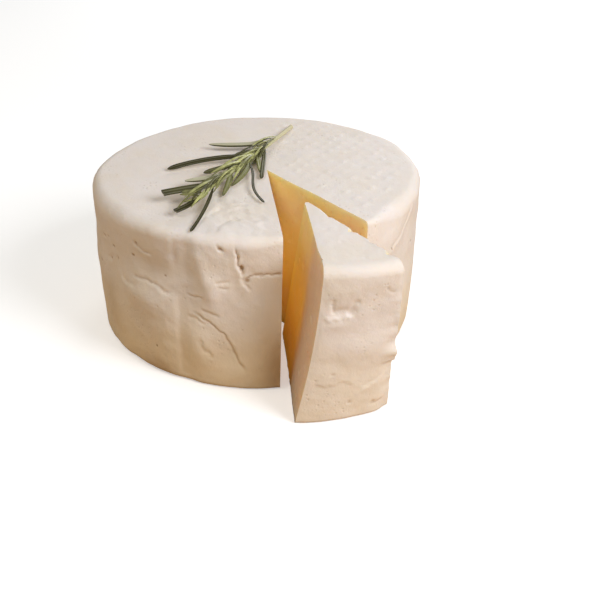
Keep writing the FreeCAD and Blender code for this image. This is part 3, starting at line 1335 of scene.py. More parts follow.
WALL_MARKS = Marks((
    Swelling(188, 34.0, 36, 60, 1.8), Swelling(186, 54.3, 22, 8, -0.9), Swelling(-146, 46.7, 20, 14, -1.0),
    Swelling(-124, 30.2, 22, 14, 1.2), Swelling(-113, 22.6, 9, 34, -1.0), Swelling(-101, 54.3, 9, 16, 1.0),
    Swelling(-88, 51.3, 12, 8, -1.0), Swelling(-49, 45.2, 14, 40, 0.9), Swelling(10, 26.4, 30, 24, 0.8),
    Swelling(62, 41.5, 26, 22, -1.1), Swelling(105, 26.4, 28, 20, 1.0),
    # Tinted swellings here and below lay painted shade on the wall; those with no rise are nothing but
    # painted shade, dark warm patches low and on the left.
    Swelling(-124, 55.5, 13, 8, -1.6, 0.35), Swelling(-129, 39.0, 15, 6, 1.6),
    Swelling(-107.0, 66, 3.4, 7, 0.9), Swelling(-104.6, 57, 3.2, 7, 0.8), Swelling(-102.4, 49, 3.4, 7, 0.9),
    Swelling(-111, 59, 4.0, 12, -0.8, 0.2),
    Swelling(-119, 18, 6, 16, 0.5), Swelling(-115, 64, 1.8, 9, -0.4, 0.4), Swelling(-125, 2, 18, 9, 0, 0.6),
    Swelling(-80, 12, 9, 22, 0, 0.75), Swelling(-150, 24, 14, 22, 0, 0.4), Swelling(-112, 48, 9, 6, 0, 0.3),
    Swelling(-131, 27, 12, 11, 0, 0.28), Swelling(-152, 48, 8, 9, 0, 0.22),
    Swelling(-108, 1, 12, 7, 0, 0.35),
    Swelling(-108, 22, 7, 13, 1.5), Swelling(-96, 8, 8, 6, 0.5), Swelling(-139, 20, 12, 12, 0.5),
    Swelling(-86, 30, 10, 14, 0.5), Swelling(-150, 66, 12, 5, 0.4),
    Flake(-93.2, -77.0, 57.6, 72.0, 0.35, 1.6),
    Crease(((-94.4, 71.5), (-93.4, 67.5), (-93.6, 63.5), (-92.4, 60), (-91.8, 57)),
           0.6, 0.55, 0.3, 3.0, False, 0.6),
    Crease(((-92.2, 56.8), (-90.5, 57.2), (-88.5, 58.2), (-86, 58.5), (-83, 58.4), (-79, 59.2)),
           0.5, 0.55, tint=0.9),
    Crease(((-92.2, 57.0), (-91.6, 53.5), (-89.8, 50.5)), 0.5, 0.8, 0.4, 2.5, False, 0.3),
    Pit(-92.6, 61.8, 1.0, 1.5, 1.0), Pit(-93.6, 66.4, 0.8, 1.2, 0.7, 0.6),
    Pit(-90.8, 55.6, 1.3, 1.2, 0.5, 0.8), Pit(-86.4, 58.0, 1.4, 0.6, 0.4, 0.6),
    Pit(-99.2, 70.2, 1.2, 0.8, 0.5, 0.9),
    Crease(((-100.5, 72), (-99, 69.8), (-97.6, 69.2)), 0.4, 0.6),
    Crease(((-100, 52.6), (-98.5, 51.4), (-96.6, 51.8)), 0.3, 0.7, 0.2, 2.0),
    Crease(((-101, 54.8), (-98.8, 54.6), (-96, 55.4)), 0.25, 0.7, 0.2, 2.0),
    Crease(((-113.8, 46), (-113.4, 34), (-113.4, 18), (-114.0, 2)), 0.1, 3.2, 0.5, 12.0, False, 0.12, 0.0),
    Crease(((-109.5, 38.6), (-106, 37), (-103, 34.5), (-101, 31.5), (-98.2, 28.6), (-96, 22), (-93.5, 15),
            (-91, 9.0)), 0.35, 0.6, 0.35, 5.0, True, 0.5),
    Crease(((-106, 40.2), (-103, 39.4), (-99.5, 37.2)), 0.3, 0.8, 0.3, 3.0, True, 0.2),
    Crease(((-111, 35.6), (-107.5, 35.8), (-104, 33)), 0.25, 0.8, 0.25, 3.0, True, 0.2),
    Crease(((-107, 26), (-105, 20), (-102.4, 15.6)), 0.25, 1.2, 0.3, 4.0, True, 0.1),
    Crease(((-134, 46.8), (-129.5, 47.4), (-126, 47.4), (-123, 47.2), (-120, 46.0), (-116.6, 44.0)),
           0.4, 0.8, 0.25, 3.5, False, 0.55),
    Crease(((-111, 45.6), (-108, 46.2), (-105, 46.4)), 0.35, 0.65, 0.2, 2.5, True),
    Crease(((-141, 44), (-137, 41.6), (-132, 42.4)), 0.3, 1.2, 0.3, 4.0, False, 0.1),
    Crease(((-152, 45), (-149, 47), (-145.5, 49.6)), 0.2, 1.2, 0.2, 3.0, False, 0.2),
    Pit(-143.8, 50.0, 0.8, 1.3, 0.5, 0.7), Pit(-153, 56.6, 1.8, 1.0, 0.5, 0.7),
    Pit(-146, 55.0, 1.0, 0.7, 0.4), Pit(-149.4, 58.4, 0.7, 0.9, 0.4), Pit(-149, 47, 0.8, 0.7, 0.4),
    Pit(-131.2, 63.8, 0.9, 1.2, 0.5, 0.7),
    Crease(((-131.5, 65.5), (-130.5, 62.8), (-128, 61.4), (-124, 60.6)), 0.35, 0.7, 0.25, 3.0, False),
    Pit(-162, 58, 1.2, 0.8, 0.4), Pit(-158, 41, 1.0, 0.7, 0.4), Pit(-119, 52.5, 0.7, 0.6, 0.3),
    Pit(-133.2, 57.2, 0.8, 0.6, 0.3), Pit(-124, 15, 0.8, 0.7, 0.3), Pit(-156, 62, 0.8, 1.0, 0.4),
    Crease(((-22.5, 71.5), (-25, 69.5), (-29, 62.5), (-33, 58.5), (-38.5, 56)),
           0.35, 0.9, 0.35, 4.0, True, 0.3),
    Pit(-36.8, 56.4, 1.0, 0.7, 0.4), Pit(-18, 50, 1.2, 0.8, 0.4), Pit(-8, 44, 1.0, 0.8, 0.3),
    Crease(((30, 62), (38, 57), (47, 58)), 0.4, 1.2, 0.4, 4.0, True, 0.3),
    Crease(((70, 30), (76, 36), (84, 38), (92, 34)), 0.5, 1.3, 0.6, 5.0, True, 0.3),
    Crease(((118, 66), (121, 54), (119, 40)), 0.4, 1.4, 0.4, 5.0, True, 0.2),
    Crease(((148, 48), (156, 44), (166, 46)), 0.5, 1.2, 0.6, 5.0, False, 0.3),
    Pit(22, 40, 1.5, 1.2, 0.5), Pit(56, 22, 1.4, 1.2, 0.5), Pit(98, 58, 1.8, 1.3, 0.6),
    Pit(131, 28, 1.5, 1.3, 0.5), Pit(160, 62, 1.6, 1.2, 0.5), Pit(172, 30, 1.2, 1.0, 0.5),
), radians(1.0) * WHEEL_RADIUS, 11)

TOP_MARKS = Marks((
    Crease(((-14, -71.5), (-13.6, -65), (-10.5, -59.2), (-5.7, -56.4), (0, -58.5), (6, -57)),
           0.15, 1.6, 0.45, 7.0, False, 0.0),
    Crease(((-19, -52.5), (-16, -49), (-12.8, -45.6)), 0.3, 1.5, 0.25, 4.0, True, 0.1),
    Crease(((-22.4, -59.6), (-20, -55), (-17, -52.4)), 0.28, 1.5, 0.25, 4.0, True, 0.1),
    Crease(((-9.8, -43.2), (-6.6, -42), (-2.6, -41.4)), 0.28, 1.4, 0.2, 3.5, True, 0.1),
    Crease(((-11, -50.6), (-8, -48), (-3.6, -45.8)), 0.28, 1.5, 0.2, 3.5, True, 0.1),
    Crease(((-14.5, -30), (-15.5, -38), (-12, -43), (-10.5, -48)), 0.25, 1.8, 0.2, 4.0, True, 0.1),
    Crease(((-4.5, -47), (-2, -52), (3.5, -54)), 0.2, 1.4, 0.2, 3.0, True, 0.1),
    Pit(-8.0, -54.8, 1.1, 1.0, 0.3, 0.3), Pit(-6.2, -57.6, 0.9, 0.8, 0.25, 0.3),
    Swelling(-20, -46, 4.0, 10.0, 0.4), Swelling(-4, -65, 9.0, 6.0, 0.35),
    Swelling(-7, -37, 5.0, 4.0, -0.35),
), 1.0, 23)

FACE_MARKS = Marks((
    Crease(((4.4, 62.2), (4.9, 58.6), (5.9, 55.0)), 0.5, 0.9, tint=0.16),
    Crease(((15.8, 60.4), (13.7, 59.4), (13.4, 56.6), (12.2, 53.6)), 0.5, 1.1, tint=0.18),
    Crease(((5.9, 56.8), (8.4, 55.4), (10.4, 56.2), (12.8, 55.4)), 0.35, 1.5, tint=0.1),
    Swelling(9.2, 56.0, 4.5, 2.4, -0.4, 0.05), Swelling(11, 65, 12, 5, 0.45),
    Crease(((2.4, 54.2), (4.4, 52.2), (6.8, 53.2), (8.2, 51.6)), -0.4, 0.9, tint=0.0),
    Crease(((9.4, 51.8), (11.0, 53.4), (12.8, 52.4)), -0.35, 0.8, tint=0.0),
    Swelling(8, 49.6, 7, 2.6, 0.4),
    Pit(26.0, 64.8, 1.2, 0.8, 0.25, 0.2), Crease(((25.6, 65.2), (27.4, 63.6), (30.4, 62.4)), 0.25, 0.8),
    Pit(10.2, 24.9, 1.1, 0.8, 0.4, 0.4), Pit(20.9, 9.0, 1.0, 0.9, 0.45, 0.5),
    Pit(32.6, 7.0, 1.4, 1.0, 0.5, 0.5),
    Crease(((3, 20.5), (9, 18.6), (15, 20), (21, 17.5)), 0.05, 1.6, 0.3, 5.0, True, 0.0),
    Crease(((22, 14.6), (28, 16.4), (34, 21)), 0.12, 1.2, 0.3, 4.0, False, 0.0),
    Crease(((31, 6.5), (34, 5.6), (38, 6.8)), 0.35, 0.8, 0.3, 3.0, True, 0.5),
    Swelling(20, 36, 14, 6, 0.6), Swelling(30, 47, 6, 8, -0.5), Swelling(24, 70, 10, 5, 0.4),
    Swelling(8, 32, 6, 8, -0.4), Swelling(27, 24, 8, 5, -0.4),
), 1.0, 37)

WEDGE_TOP_MARKS = Marks((
    Pit(37, -78, 1.2, 1.0, 0.25, 0.2), Pit(46, -92, 1.0, 1.2, 0.2, 0.2), Pit(31, -66, 1.0, 0.8, 0.2, 0.2),
), 1.0, 41)


def wall_profile(height: float, rim: Array, foot: Array, steps: int, rows: int) -> tuple[Array, Array]:
    """Heights and insets down a wall with a rounded rim and foot.

    Args:
        height: The wall's height.
        rim: Radius of the rim's rounding, one for each column.
        foot: Radius of the foot's rounding, one for each column.
        steps: Rows round the rim.
        rows: Rows between rim and foot, their ends counted.

    Returns:
        Heights and insets, in rows and columns.
    """
    high = np.linspace(0.0, pi / 2, steps)[:, None]
    low = np.linspace(pi / 2, 0.0, 5)[:, None]
    shares = np.linspace(0.0, 1.0, rows)[1:-1, None]
    middle = (height - rim) * (1 - shares) + foot * shares
    heights = np.concatenate([height - rim * (1 - np.cos(high)), middle, foot * (1 - np.cos(low))])
    insets = np.concatenate([rim * (1 - np.sin(high)), np.zeros_like(middle), foot * (1 - np.sin(low))])
    return heights, insets


def flat_foot(flat: Array, distance: Array) -> dict[str, Array]:
    """Place points of a flat underside, whatever their distance from its edge."""
    return {"places": level(flat[:, 0], flat[:, 1])}


@dataclass
class Cheese:
    """What the wheel and its wedge share: the notch, the wheel's radius and the sloping top."""

    notch: Notch
    radius: float = WHEEL_RADIUS
    height: float = 75.4
    slope_x: float = 0.028
    slope_y: float = 0.009

    def top_height(self, x: Array, y: Array) -> Array:
        """Height of the sloping top over points in plan."""
        return self.height + self.slope_x * x + self.slope_y * y


@dataclass
class Wheel(Cheese):
    """The round cheese with its notch: uneven wall, sloping top, two cut faces."""

    foot_draw_in: float = 2.4
    rim_rounding: float = 5.0
    rim_uneven: float = 1.3
    foot_rounding: float = 2.5
    wall_rows: int = 108
    back_step: float = 1.6
    side_step: float = 0.85
    front_step: float = 0.55
    top_step: float = 1.0
    cut_step: float = 1.25
    foot_step: float = 6.0
    spine_step: float = 1.2
    edge_step: float = 1.0

    def headings(self) -> Array:
        """Headings about the notch's apex of the wall's columns, closer together where the front shows.

        Returns:
            Headings in radians, from the notch's right face round to its left.
        """
        right, left = self.notch.right.heading, 360.0 + self.notch.left.heading
        spans = ((right, 18.0, self.side_step), (18.0, 160.0, self.back_step),
                 (160.0, 225.0, self.side_step), (225.0, left, self.front_step))
        columns = []
        for start, end, step in spans:
            count = int(round((end - start) * radians(1.0) * self.radius / step))
            columns.append(np.linspace(start, end, count, endpoint=False))
        columns.append(np.array([left]))
        return np.radians(np.concatenate(columns))

    def wall_radius(self, heading: Array, share: Array) -> tuple[Array, Array]:
        """Radius of the wall, with everything that marks it.

        Args:
            heading: Headings about the wheel's axis, in radians.
            share: Shares of the wheel's height.

        Returns:
            The radius, and how deep in a hollow each place is.
        """
        shape = heading.shape
        heading = heading.ravel()
        turn = np.degrees(heading)
        up = (share * self.height).ravel()
        move, hollow = np.zeros(len(turn)), np.zeros(len(turn))
        for whole in (-360.0, 0.0, 360.0):
            pushed, dark = WALL_MARKS.relief(turn + whole, up)
            near = np.abs(turn + whole) < 250.0
            move += np.where(near, pushed, 0.0)
            hollow = np.maximum(hollow, np.where(near, dark, 0.0))
        spots = np.stack([self.radius * np.cos(heading), self.radius * np.sin(heading), up], 1)
        move += 0.7 * layered_noise(spots, 24.0, 2, 3) + 0.42 * layered_noise(spots, 8.5, 3, 4)
        radius = self.radius - self.foot_draw_in * (1.0 - share.ravel()) + move
        return radius.reshape(shape), hollow.reshape(shape)

    def profile(self, headings: Array) -> tuple[Array, Array]:
        """Heights and insets down the wall, from the top's edge to the underside's.

        Args:
            headings: The columns' headings.

        Returns:
            Heights and insets, in rows and columns.
        """
        spots = level(np.cos(headings), np.sin(headings)) * self.radius
        rim = self.rim_rounding + self.rim_uneven * noise(spots, 22.0, 8)
        turn = np.degrees(headings)
        rim = rim - (rim - 2.2) * np.exp(-(((turn - self.notch.right.heading) / 9.0) ** 2))
        rim = rim - 0.35 * rim * np.exp(-(((turn - 360.0 - self.notch.left.heading) / 6.0) ** 2))
        foot = self.foot_rounding + 1.2 * layered_noise(spots, 13.0, 2, 9)
        return wall_profile(self.height, rim, foot, 9, self.wall_rows + 1)

    def top_relief(self, x: Array, y: Array) -> tuple[Array, Array, Array]:
        """How the top differs from a smooth slope.

        Args:
            x: Places in plan.
            y: Places in plan.

        Returns:
            The upward move, how deep in a hollow, and how strongly the mat has printed there.
        """
        spots = level(x, y)
        move, hollow = TOP_MARKS.relief(x, y)
        rough = ease((x + 26.0) / 12.0) * ease((12.0 - x) / 8.0) * ease((-22.0 - y) / 14.0)
        move = move + 0.3 * layered_noise(spots, 30.0, 2, 31) + 0.1 * layered_noise(spots, 7.0, 2, 32)
        folded = level(x + 0.6 * y, 0.45 * (y - 0.6 * x))
        move = move + 0.55 * rough * layered_noise(folded, 6.0, 3, 33)
        press = (0.22 + 0.78 * ease((x + 2.0) / 18.0)) * (1.0 - 0.9 * rough)
        return move, hollow, press

    def wall(self) -> tuple[Array, Array]:
        """Places of the wall's rows and columns.

        Returns:
            Places (rows, columns, 3), and how deep in a hollow each is.
        """
        columns = self.headings()
        heights, insets = self.profile(columns)
        share = heights / self.height
        apex = self.notch.corner()
        step_x, step_y = np.cos(columns), np.sin(columns)
        along = apex[0] * step_x + apex[1] * step_y

        def plan(out: Array) -> tuple[Array, Array]:
            """Where the columns are at a distance from the wheel's axis."""
            reach = -along + np.sqrt(along ** 2 - apex @ apex + out ** 2)
            return apex[0] + reach * step_x, apex[1] + reach * step_y

        x, y = plan(np.full(heights.shape, self.radius))
        for _ in range(4):
            radius, hollow = self.wall_radius(np.arctan2(y, x), share)
            x, y = plan(radius - insets)
        rim = np.where(share > 0.5, insets / self.rim_rounding, 0.0)
        lift, _, _ = self.top_relief(x.ravel(), y.ravel())
        z = share * self.top_height(x, y) + ease(rim) * lift.reshape(x.shape)
        return np.stack([x, y, z], -1), hollow

    def on_top(self, flat: Array, distance: Array) -> dict[str, Array]:
        """Place points of the top.

        Args:
            flat: The points in plan.
            distance: How far each is from the top's edge.

        Returns:
            Their places and values.
        """
        lift, hollow, press = self.top_relief(flat[:, 0], flat[:, 1])
        z = self.top_height(flat[:, 0], flat[:, 1]) + lift
        return {"places": np.column_stack([flat, z]), "hollow": 0.5 * hollow,
                "press": press * ease(distance / 6.0)}

    def cut_gold_bounce(self, reach: Array) -> Array:
        """How strongly painted golden reflected light colours a cut face, by distance from the notch's apex.
        """
        return 1.0 - 0.45 * ease((reach - self.radius * 0.72) / (self.radius * 0.25))

    def on_cut(self, face: Face, flat: Array, distance: Array) -> dict[str, Array]:
        """Place points of a cut face.

        Args:
            face: The face.
            flat: The points' distances from the apex line and heights.
            distance: How far each is from the face's edge.

        Returns:
            Their places and values.
        """
        plan = self.notch.corner() + flat[:, :1] * plan_step(face.heading)
        spots = np.column_stack([plan, flat[:, 1]])
        bend = 0.35 * layered_noise(spots, 16.0, 2, 51) + 0.16 * layered_noise(spots, 4.0, 3, 52)
        holes = np.maximum(0.0, noise(spots, 2.6, 53) - 0.55) * 1.6
        move = (bend - holes) * ease(distance / 2.5)
        plan = plan + move[:, None] * face.inward()
        return {"places": np.column_stack([plan, flat[:, 1]]), "gold": self.cut_gold_bounce(flat[:, 0])}

    def edge(self, shell: Shell, end: Array, top: bool) -> tuple[Array, Array]:
        """Lay the points where a cut face meets the top or the underside, from the apex to the wall.

        Args:
            shell: The shell that takes them.
            end: The wall's point that the edge ends at.
            top: Whether it is the top's edge.

        Returns:
            The points' numbers, and their places.
        """
        apex = self.notch.corner()
        plan = steps_between(apex, end[:2], self.edge_step)
        if top:
            z = self.on_top(plan, np.zeros(len(plan)))["places"][:, 2]
        else:
            z = np.linspace(0.0, end[2], len(plan) + 2)[1:-1]
        spots = np.column_stack([plan, z])
        gold = self.cut_gold_bounce(np.linalg.norm(plan - apex, axis=1))
        return shell.add_points(spots, gold=gold), spots

    def build(self, materials: Sequence[Material]) -> Piece:
        """Make the wheel.

        Args:
            materials: The rind's and the paste's finishes.

        Returns:
            The piece.
        """
        shell = Shell()
        places, hollow = self.wall()
        rows, columns = hollow.shape
        wall = shell.add_points(places.reshape(-1, 3), hollow=hollow.ravel()).reshape(rows, columns)
        shell.add_grid(wall, [Skin.RIND])
        apex = self.notch.corner()
        apex_top = float(self.on_top(apex[None], np.zeros(1))["places"][0, 2])
        inner = steps_between(np.zeros(1), np.array([apex_top]), self.spine_step)[:, 0]
        spine = np.concatenate([[0.0], inner, [apex_top]])
        spine = np.column_stack([np.tile(apex, (len(spine), 1)), spine])
        spine_points = shell.add_points(spine, gold=1.0)
        edges = {(column, row): self.edge(shell, places[row, column], row == 0)
                 for column in (0, -1) for row in (0, -1)}
        for row, apex_row, step, place in ((0, -1, self.top_step, self.on_top),
                                           (-1, 0, self.foot_step, flat_foot)):
            right, left = edges[0, row], edges[-1, row]
            loop = np.concatenate([wall[row], left[0][::-1], spine_points[[apex_row]], right[0]])
            flat = np.concatenate([places[row, :, :2], left[1][::-1, :2], apex[None], right[1][:, :2]])
            shell.add_patch(loop, flat, step, Skin.RIND, place)
        for column, face in ((0, self.notch.right), (-1, self.notch.left)):
            top, foot = edges[column, 0], edges[column, -1]
            loop = np.concatenate([spine_points, top[0], wall[:, column], foot[0][::-1]])
            spots = np.concatenate([spine, top[1], places[:, column], foot[1][::-1]])
            flat = np.column_stack([np.linalg.norm(spots[:, :2] - apex, axis=1), spots[:, 2]])
            shell.add_patch(loop, flat, self.cut_step, Skin.PASTE, partial(self.on_cut, face))
        return shell.build("wheel_body", materials)


@dataclass(frozen=True)
class WedgeLevel:
    """The wedge's outline at one height, set by its gaps to the notch's two faces."""

    tip_left_gap: float
    tip_right_gap: float
    left_gap: float
    left_beyond: float
    right_gap: float
    right_beyond: float

    def numbers(self) -> Array:
        """All six sizes in order."""
        return np.array(astuple(self))


@dataclass
class Wedge(Cheese):
    """The cut wedge, drawn part way out of the notch."""

    foot: WedgeLevel = WedgeLevel(6.3, 4.8, 3.5, 24.0, 5.5, 27.5)
    top: WedgeLevel = WedgeLevel(12.9, 7.0, 12.7, 30.4, 12.6, 37.6)
    tip_width_foot: float = 1.0
    tip_width_top: float = 1.8
    rim_rounding: float = 5.0
    foot_rounding: float = 1.5
    left_hollow: float = 1.6
    chip_height: float = 27.0
    chip_depth: float = 1.8
    chip_ledge: float = 2.0
    rows: int = 112
    side_columns: int = 96
    face_columns: int = 58
    tip_columns: int = 4
    top_step: float = 0.75
    foot_step: float = 3.0

    def corners(self, heights: Array, insets: Array) -> dict[str, Array]:
        """The outline's corners at each height.

        Args:
            heights: Heights of the rows.
            insets: How far the outer face is drawn in at each.

        Returns:
            Places in plan, one row of two for each height, by the corner's name.
        """
        share = heights / self.height
        sizes = self.foot.numbers() + (self.top.numbers() - self.foot.numbers()) * share[:, None]
        tip = self.notch.between(sizes[:, 0], sizes[:, 1])
        left = self.notch.beside(self.notch.left, sizes[:, 2], self.radius + sizes[:, 3])
        right = self.notch.beside(self.notch.right, sizes[:, 4], self.radius + sizes[:, 5])
        left_run = unit(left - tip)
        right_run = unit(right - tip)
        hollow = self.left_hollow * np.sin(pi * share)
        broken = self.chip_depth * ease((self.chip_height - heights) / self.chip_ledge)
        ragged = column_noise(heights, 3.4, 61) * 0.22 + column_noise(heights, 12.0, 62) * 0.45
        lip = 1.3 * np.exp(-(((heights - 31.0) / 2.2) ** 2)) - 1.1 * np.exp(-(((heights - 36.5) / 3.0) ** 2))
        left = left - left_run * insets[:, None] + turned_left(left_run) * hollow[:, None]
        right = right - right_run * insets[:, None]
        blunt = self.tip_width_foot + (self.tip_width_top - self.tip_width_foot) * share
        blunt = blunt / np.linalg.norm(right_run - left_run, axis=1)
        return {"left": left, "right": right, "tip_left": tip + left_run * blunt[:, None],
                "tip_right": tip + right_run * blunt[:, None],
                "broken": right_run * (lip + ragged - broken)[:, None]}

    def ring(self) -> dict[str, Array]:
        """Places and values of the sides' rows and columns.

        Returns:
            Places (rows, columns, 3), hollow and gold, the painted golden reflected light, in rows and
            columns, and the skin number of each column of faces.
        """
        rim, foot = np.array([[self.rim_rounding], [self.foot_rounding]])
        profile = wall_profile(self.height, rim, foot, 12, self.rows)
        heights, insets = (column[:, 0] for column in profile)
        ends = self.corners(heights, insets)
        share = (heights / self.height)[:, None]
        sides = np.linspace(0.0, 1.0, self.side_columns, endpoint=False)
        tips = np.linspace(0.0, 1.0, self.tip_columns, endpoint=False)
        outer, hollow = self.outer_face(heights, insets, ends)
        left_face = self.cut_face(ends["tip_left"], ends["left"], heights, sides, 81)
        right_face = self.cut_face(ends["right"], ends["tip_right"], heights, sides, 91)
        from_right = sides * np.linalg.norm(ends["tip_right"] - ends["right"], axis=1)[:, None]
        right_face = pushed(right_face, np.exp(-((from_right / 5.0) ** 2)), ends["broken"])
        right_face = self.crumbled_edge(right_face, heights)
        tipward = unit((ends["tip_left"] + ends["tip_right"] - ends["left"] - ends["right"]) / 2)
        tip = between(ends["tip_right"], ends["tip_left"], tips)
        tip = pushed(tip, (1.6 * tips * (1.0 - tips))[None], tipward)
        plan = np.concatenate([left_face, outer, right_face, tip], 1)
        z = share * self.top_height(plan[..., 0], plan[..., 1])
        # Painted golden reflected light, strongest on the part of each cut face that stays deep in the notch.
        from_corner = (1.0 - sides) * np.linalg.norm(ends["left"] - ends["tip_left"], axis=1)[:, None]
        left_gold_bounce = ease((from_corner - 22.0) / 16.0)
        right_gold_bounce = np.broadcast_to(0.9 - 0.5 * (1.0 - sides), left_gold_bounce.shape)
        tip_gold_bounce = np.ones(tip.shape[:2])
        gold = np.concatenate([left_gold_bounce, 0.0 * hollow, right_gold_bounce, tip_gold_bounce], 1)
        dark = np.concatenate([0.0 * left_gold_bounce, hollow, 0.0 * right_gold_bounce, 0.0 * tip_gold_bounce], 1)
        skins = ([Skin.PASTE] * self.side_columns + [Skin.RIND] * self.face_columns
                 + [Skin.PASTE] * (self.side_columns + self.tip_columns))
        return {"places": np.concatenate([plan, z[..., None]], -1), "hollow": dark, "gold": gold,
                "skins": skins}

    def outer_face(self, heights: Array, insets: Array, ends: dict[str, Array]) -> tuple[Array, Array]:
        """Lay the outer face, with its bulge, its marks and its broken corner.

        Args:
            heights: Heights of the rows.
            insets: How far the face is drawn in at each.
            ends: The outline's corners at each.

        Returns:
            Places in plan, and how deep in a hollow each is, in rows and columns.
        """
        shares = np.linspace(0.0, 1.0, self.face_columns, endpoint=False)
        plan = between(ends["left"], ends["right"], shares)
        chord = ends["right"] - ends["left"]
        width = np.linalg.norm(chord, axis=1)[:, None]
        bulge = self.radius - np.sqrt(self.radius ** 2 - (width / 2) ** 2)
        across = shares * width
        up = np.broadcast_to(heights[:, None], across.shape)
        relief = FACE_MARKS.relief(across.ravel(), up.ravel())
        marked, hollow = (part.reshape(across.shape) for part in relief)
        spots = np.concatenate([plan, up[..., None]], -1).reshape(-1, 3)
        rough = 0.4 * layered_noise(spots, 15.0, 2, 71) + 0.22 * layered_noise(spots, 5.0, 3, 72)
        hem = ease(np.minimum(shares, 1.0 - shares) * width / 2.0)
        calm = ease(1.0 - insets / self.rim_rounding)[:, None]
        move = bulge * 4 * shares * (1 - shares) + (marked + rough.reshape(across.shape)) * hem * calm
        plan = pushed(plan, move, -turned_left(unit(chord)))
        to_right = (1.0 - shares) * width
        return pushed(plan, np.exp(-((to_right / 4.5) ** 2)), ends["broken"]), hollow * hem

    @staticmethod
    def cut_face(start: Array, end: Array, heights: Array, shares: Array, seed: int) -> Array:
        """Lay a cut face, bent a little as a knife and the curd leave it.

        Args:
            start: The corner it starts from, at each height.
            end: The corner it ends at, at each height.
            heights: Heights of the rows.
            shares: Shares of the way, one for each column.
            seed: Picks another pattern.

        Returns:
            Places in plan, in rows and columns.
        """
        plan = between(start, end, shares)
        up = np.broadcast_to(heights[:, None, None], plan.shape[:2] + (1,))
        spots = np.concatenate([plan, up], -1).reshape(-1, 3)
        bend = 0.3 * layered_noise(spots, 14.0, 2, seed) + 0.14 * layered_noise(spots, 3.6, 3, seed + 1)
        holes = np.maximum(0.0, noise(spots, 2.4, seed + 2) - 0.55) * 1.4
        width = np.linalg.norm(end - start, axis=1)[:, None]
        hem = ease(np.minimum(shares, 1.0 - shares) * width / 2.0)
        return pushed(plan, (bend - holes).reshape(plan.shape[:2]) * hem, -turned_left(unit(end - start)))

    def crumbled_edge(self, plan: Array, heights: Array) -> Array:
        """Break the right face's top edge into crumbs.

        Args:
            plan: The right face's places in plan, in rows and columns.
            heights: Heights of the rows.

        Returns:
            The places with the edge broken back.
        """
        along = np.linalg.norm(plan - plan[:, :1], axis=-1)
        bites = 0.5 + 0.5 * layered_noise(level(along.ravel()), 4.2, 3, 95)
        bites = bites.reshape(along.shape) ** 2 * 3.6
        near_top = ease((heights - (self.height - 4.5)) / 4.5)[:, None]
        ends = ease(along / 4.0) * ease((along[:, -1:] - along - 4.0) / 14.0)
        return pushed(plan, bites * near_top * ends, turned_left(unit(plan[:, -1] - plan[:, 0])))

    def on_top(self, flat: Array, distance: Array) -> dict[str, Array]:
        """Place points of the wedge's top.

        Args:
            flat: The points in plan.
            distance: How far each is from the top's edge.

        Returns:
            Their places and values.
        """
        lift, hollow = WEDGE_TOP_MARKS.relief(flat[:, 0], flat[:, 1])
        spots = level(flat[:, 0], flat[:, 1])
        lift = lift + 0.22 * layered_noise(spots, 16.0, 2, 43) + 0.14 * layered_noise(spots, 4.5, 3, 44)
        z = self.top_height(flat[:, 0], flat[:, 1])
        return {"places": np.column_stack([flat, z + lift * ease(distance / 1.5)]), "hollow": 0.4 * hollow,
                "press": 0.55 * ease(distance / 4.0)}

    def build(self, materials: Sequence[Material]) -> Piece:
        """Make the wedge.

        Args:
            materials: The rind's and the paste's finishes.

        Returns:
            The piece.
        """
        shell = Shell()
        sides = self.ring()
        rows, columns = sides["hollow"].shape
        numbers = shell.add_points(sides["places"].reshape(-1, 3), hollow=sides["hollow"].ravel(),
                                   gold=sides["gold"].ravel()).reshape(rows, columns)
        closed = np.concatenate([numbers, numbers[:, :1]], 1)
        shell.add_grid(closed, sides["skins"])
        outline = sides["places"][..., :2]
        shell.add_patch(numbers[0], outline[0], self.top_step, Skin.RIND, self.on_top)
        shell.add_patch(numbers[-1], outline[-1], self.foot_step, Skin.RIND, flat_foot)
        return shell.build("drawn_wedge", materials)


# ------------ the sprig


@dataclass(frozen=True)
class Needle:
    """One rosemary needle, from its place along the stem to its tip.

    station: share of the stem's length. heading: degrees about +Z. tip_rise: the tip's height above the
    cheese, less the stem's. bow: sideways bulge of its middle, to the left of its heading. arch: upward
    bulge. roll: turn of its blade. tint: 0 dark to 1 fresh green. cut: a cut end keeps its width. sway:
    S-shaped sideways bend. taper: widths over which it narrows to its tip.
    """

    station: float
    heading: float
    length: float
    width: float
    tip_rise: float
    bow: float
    arch: float = 0.0
    roll: float = 0.0
    tint: float = 0.1
    cut: bool = False
    sway: float = 0.0
    taper: float = 1.6


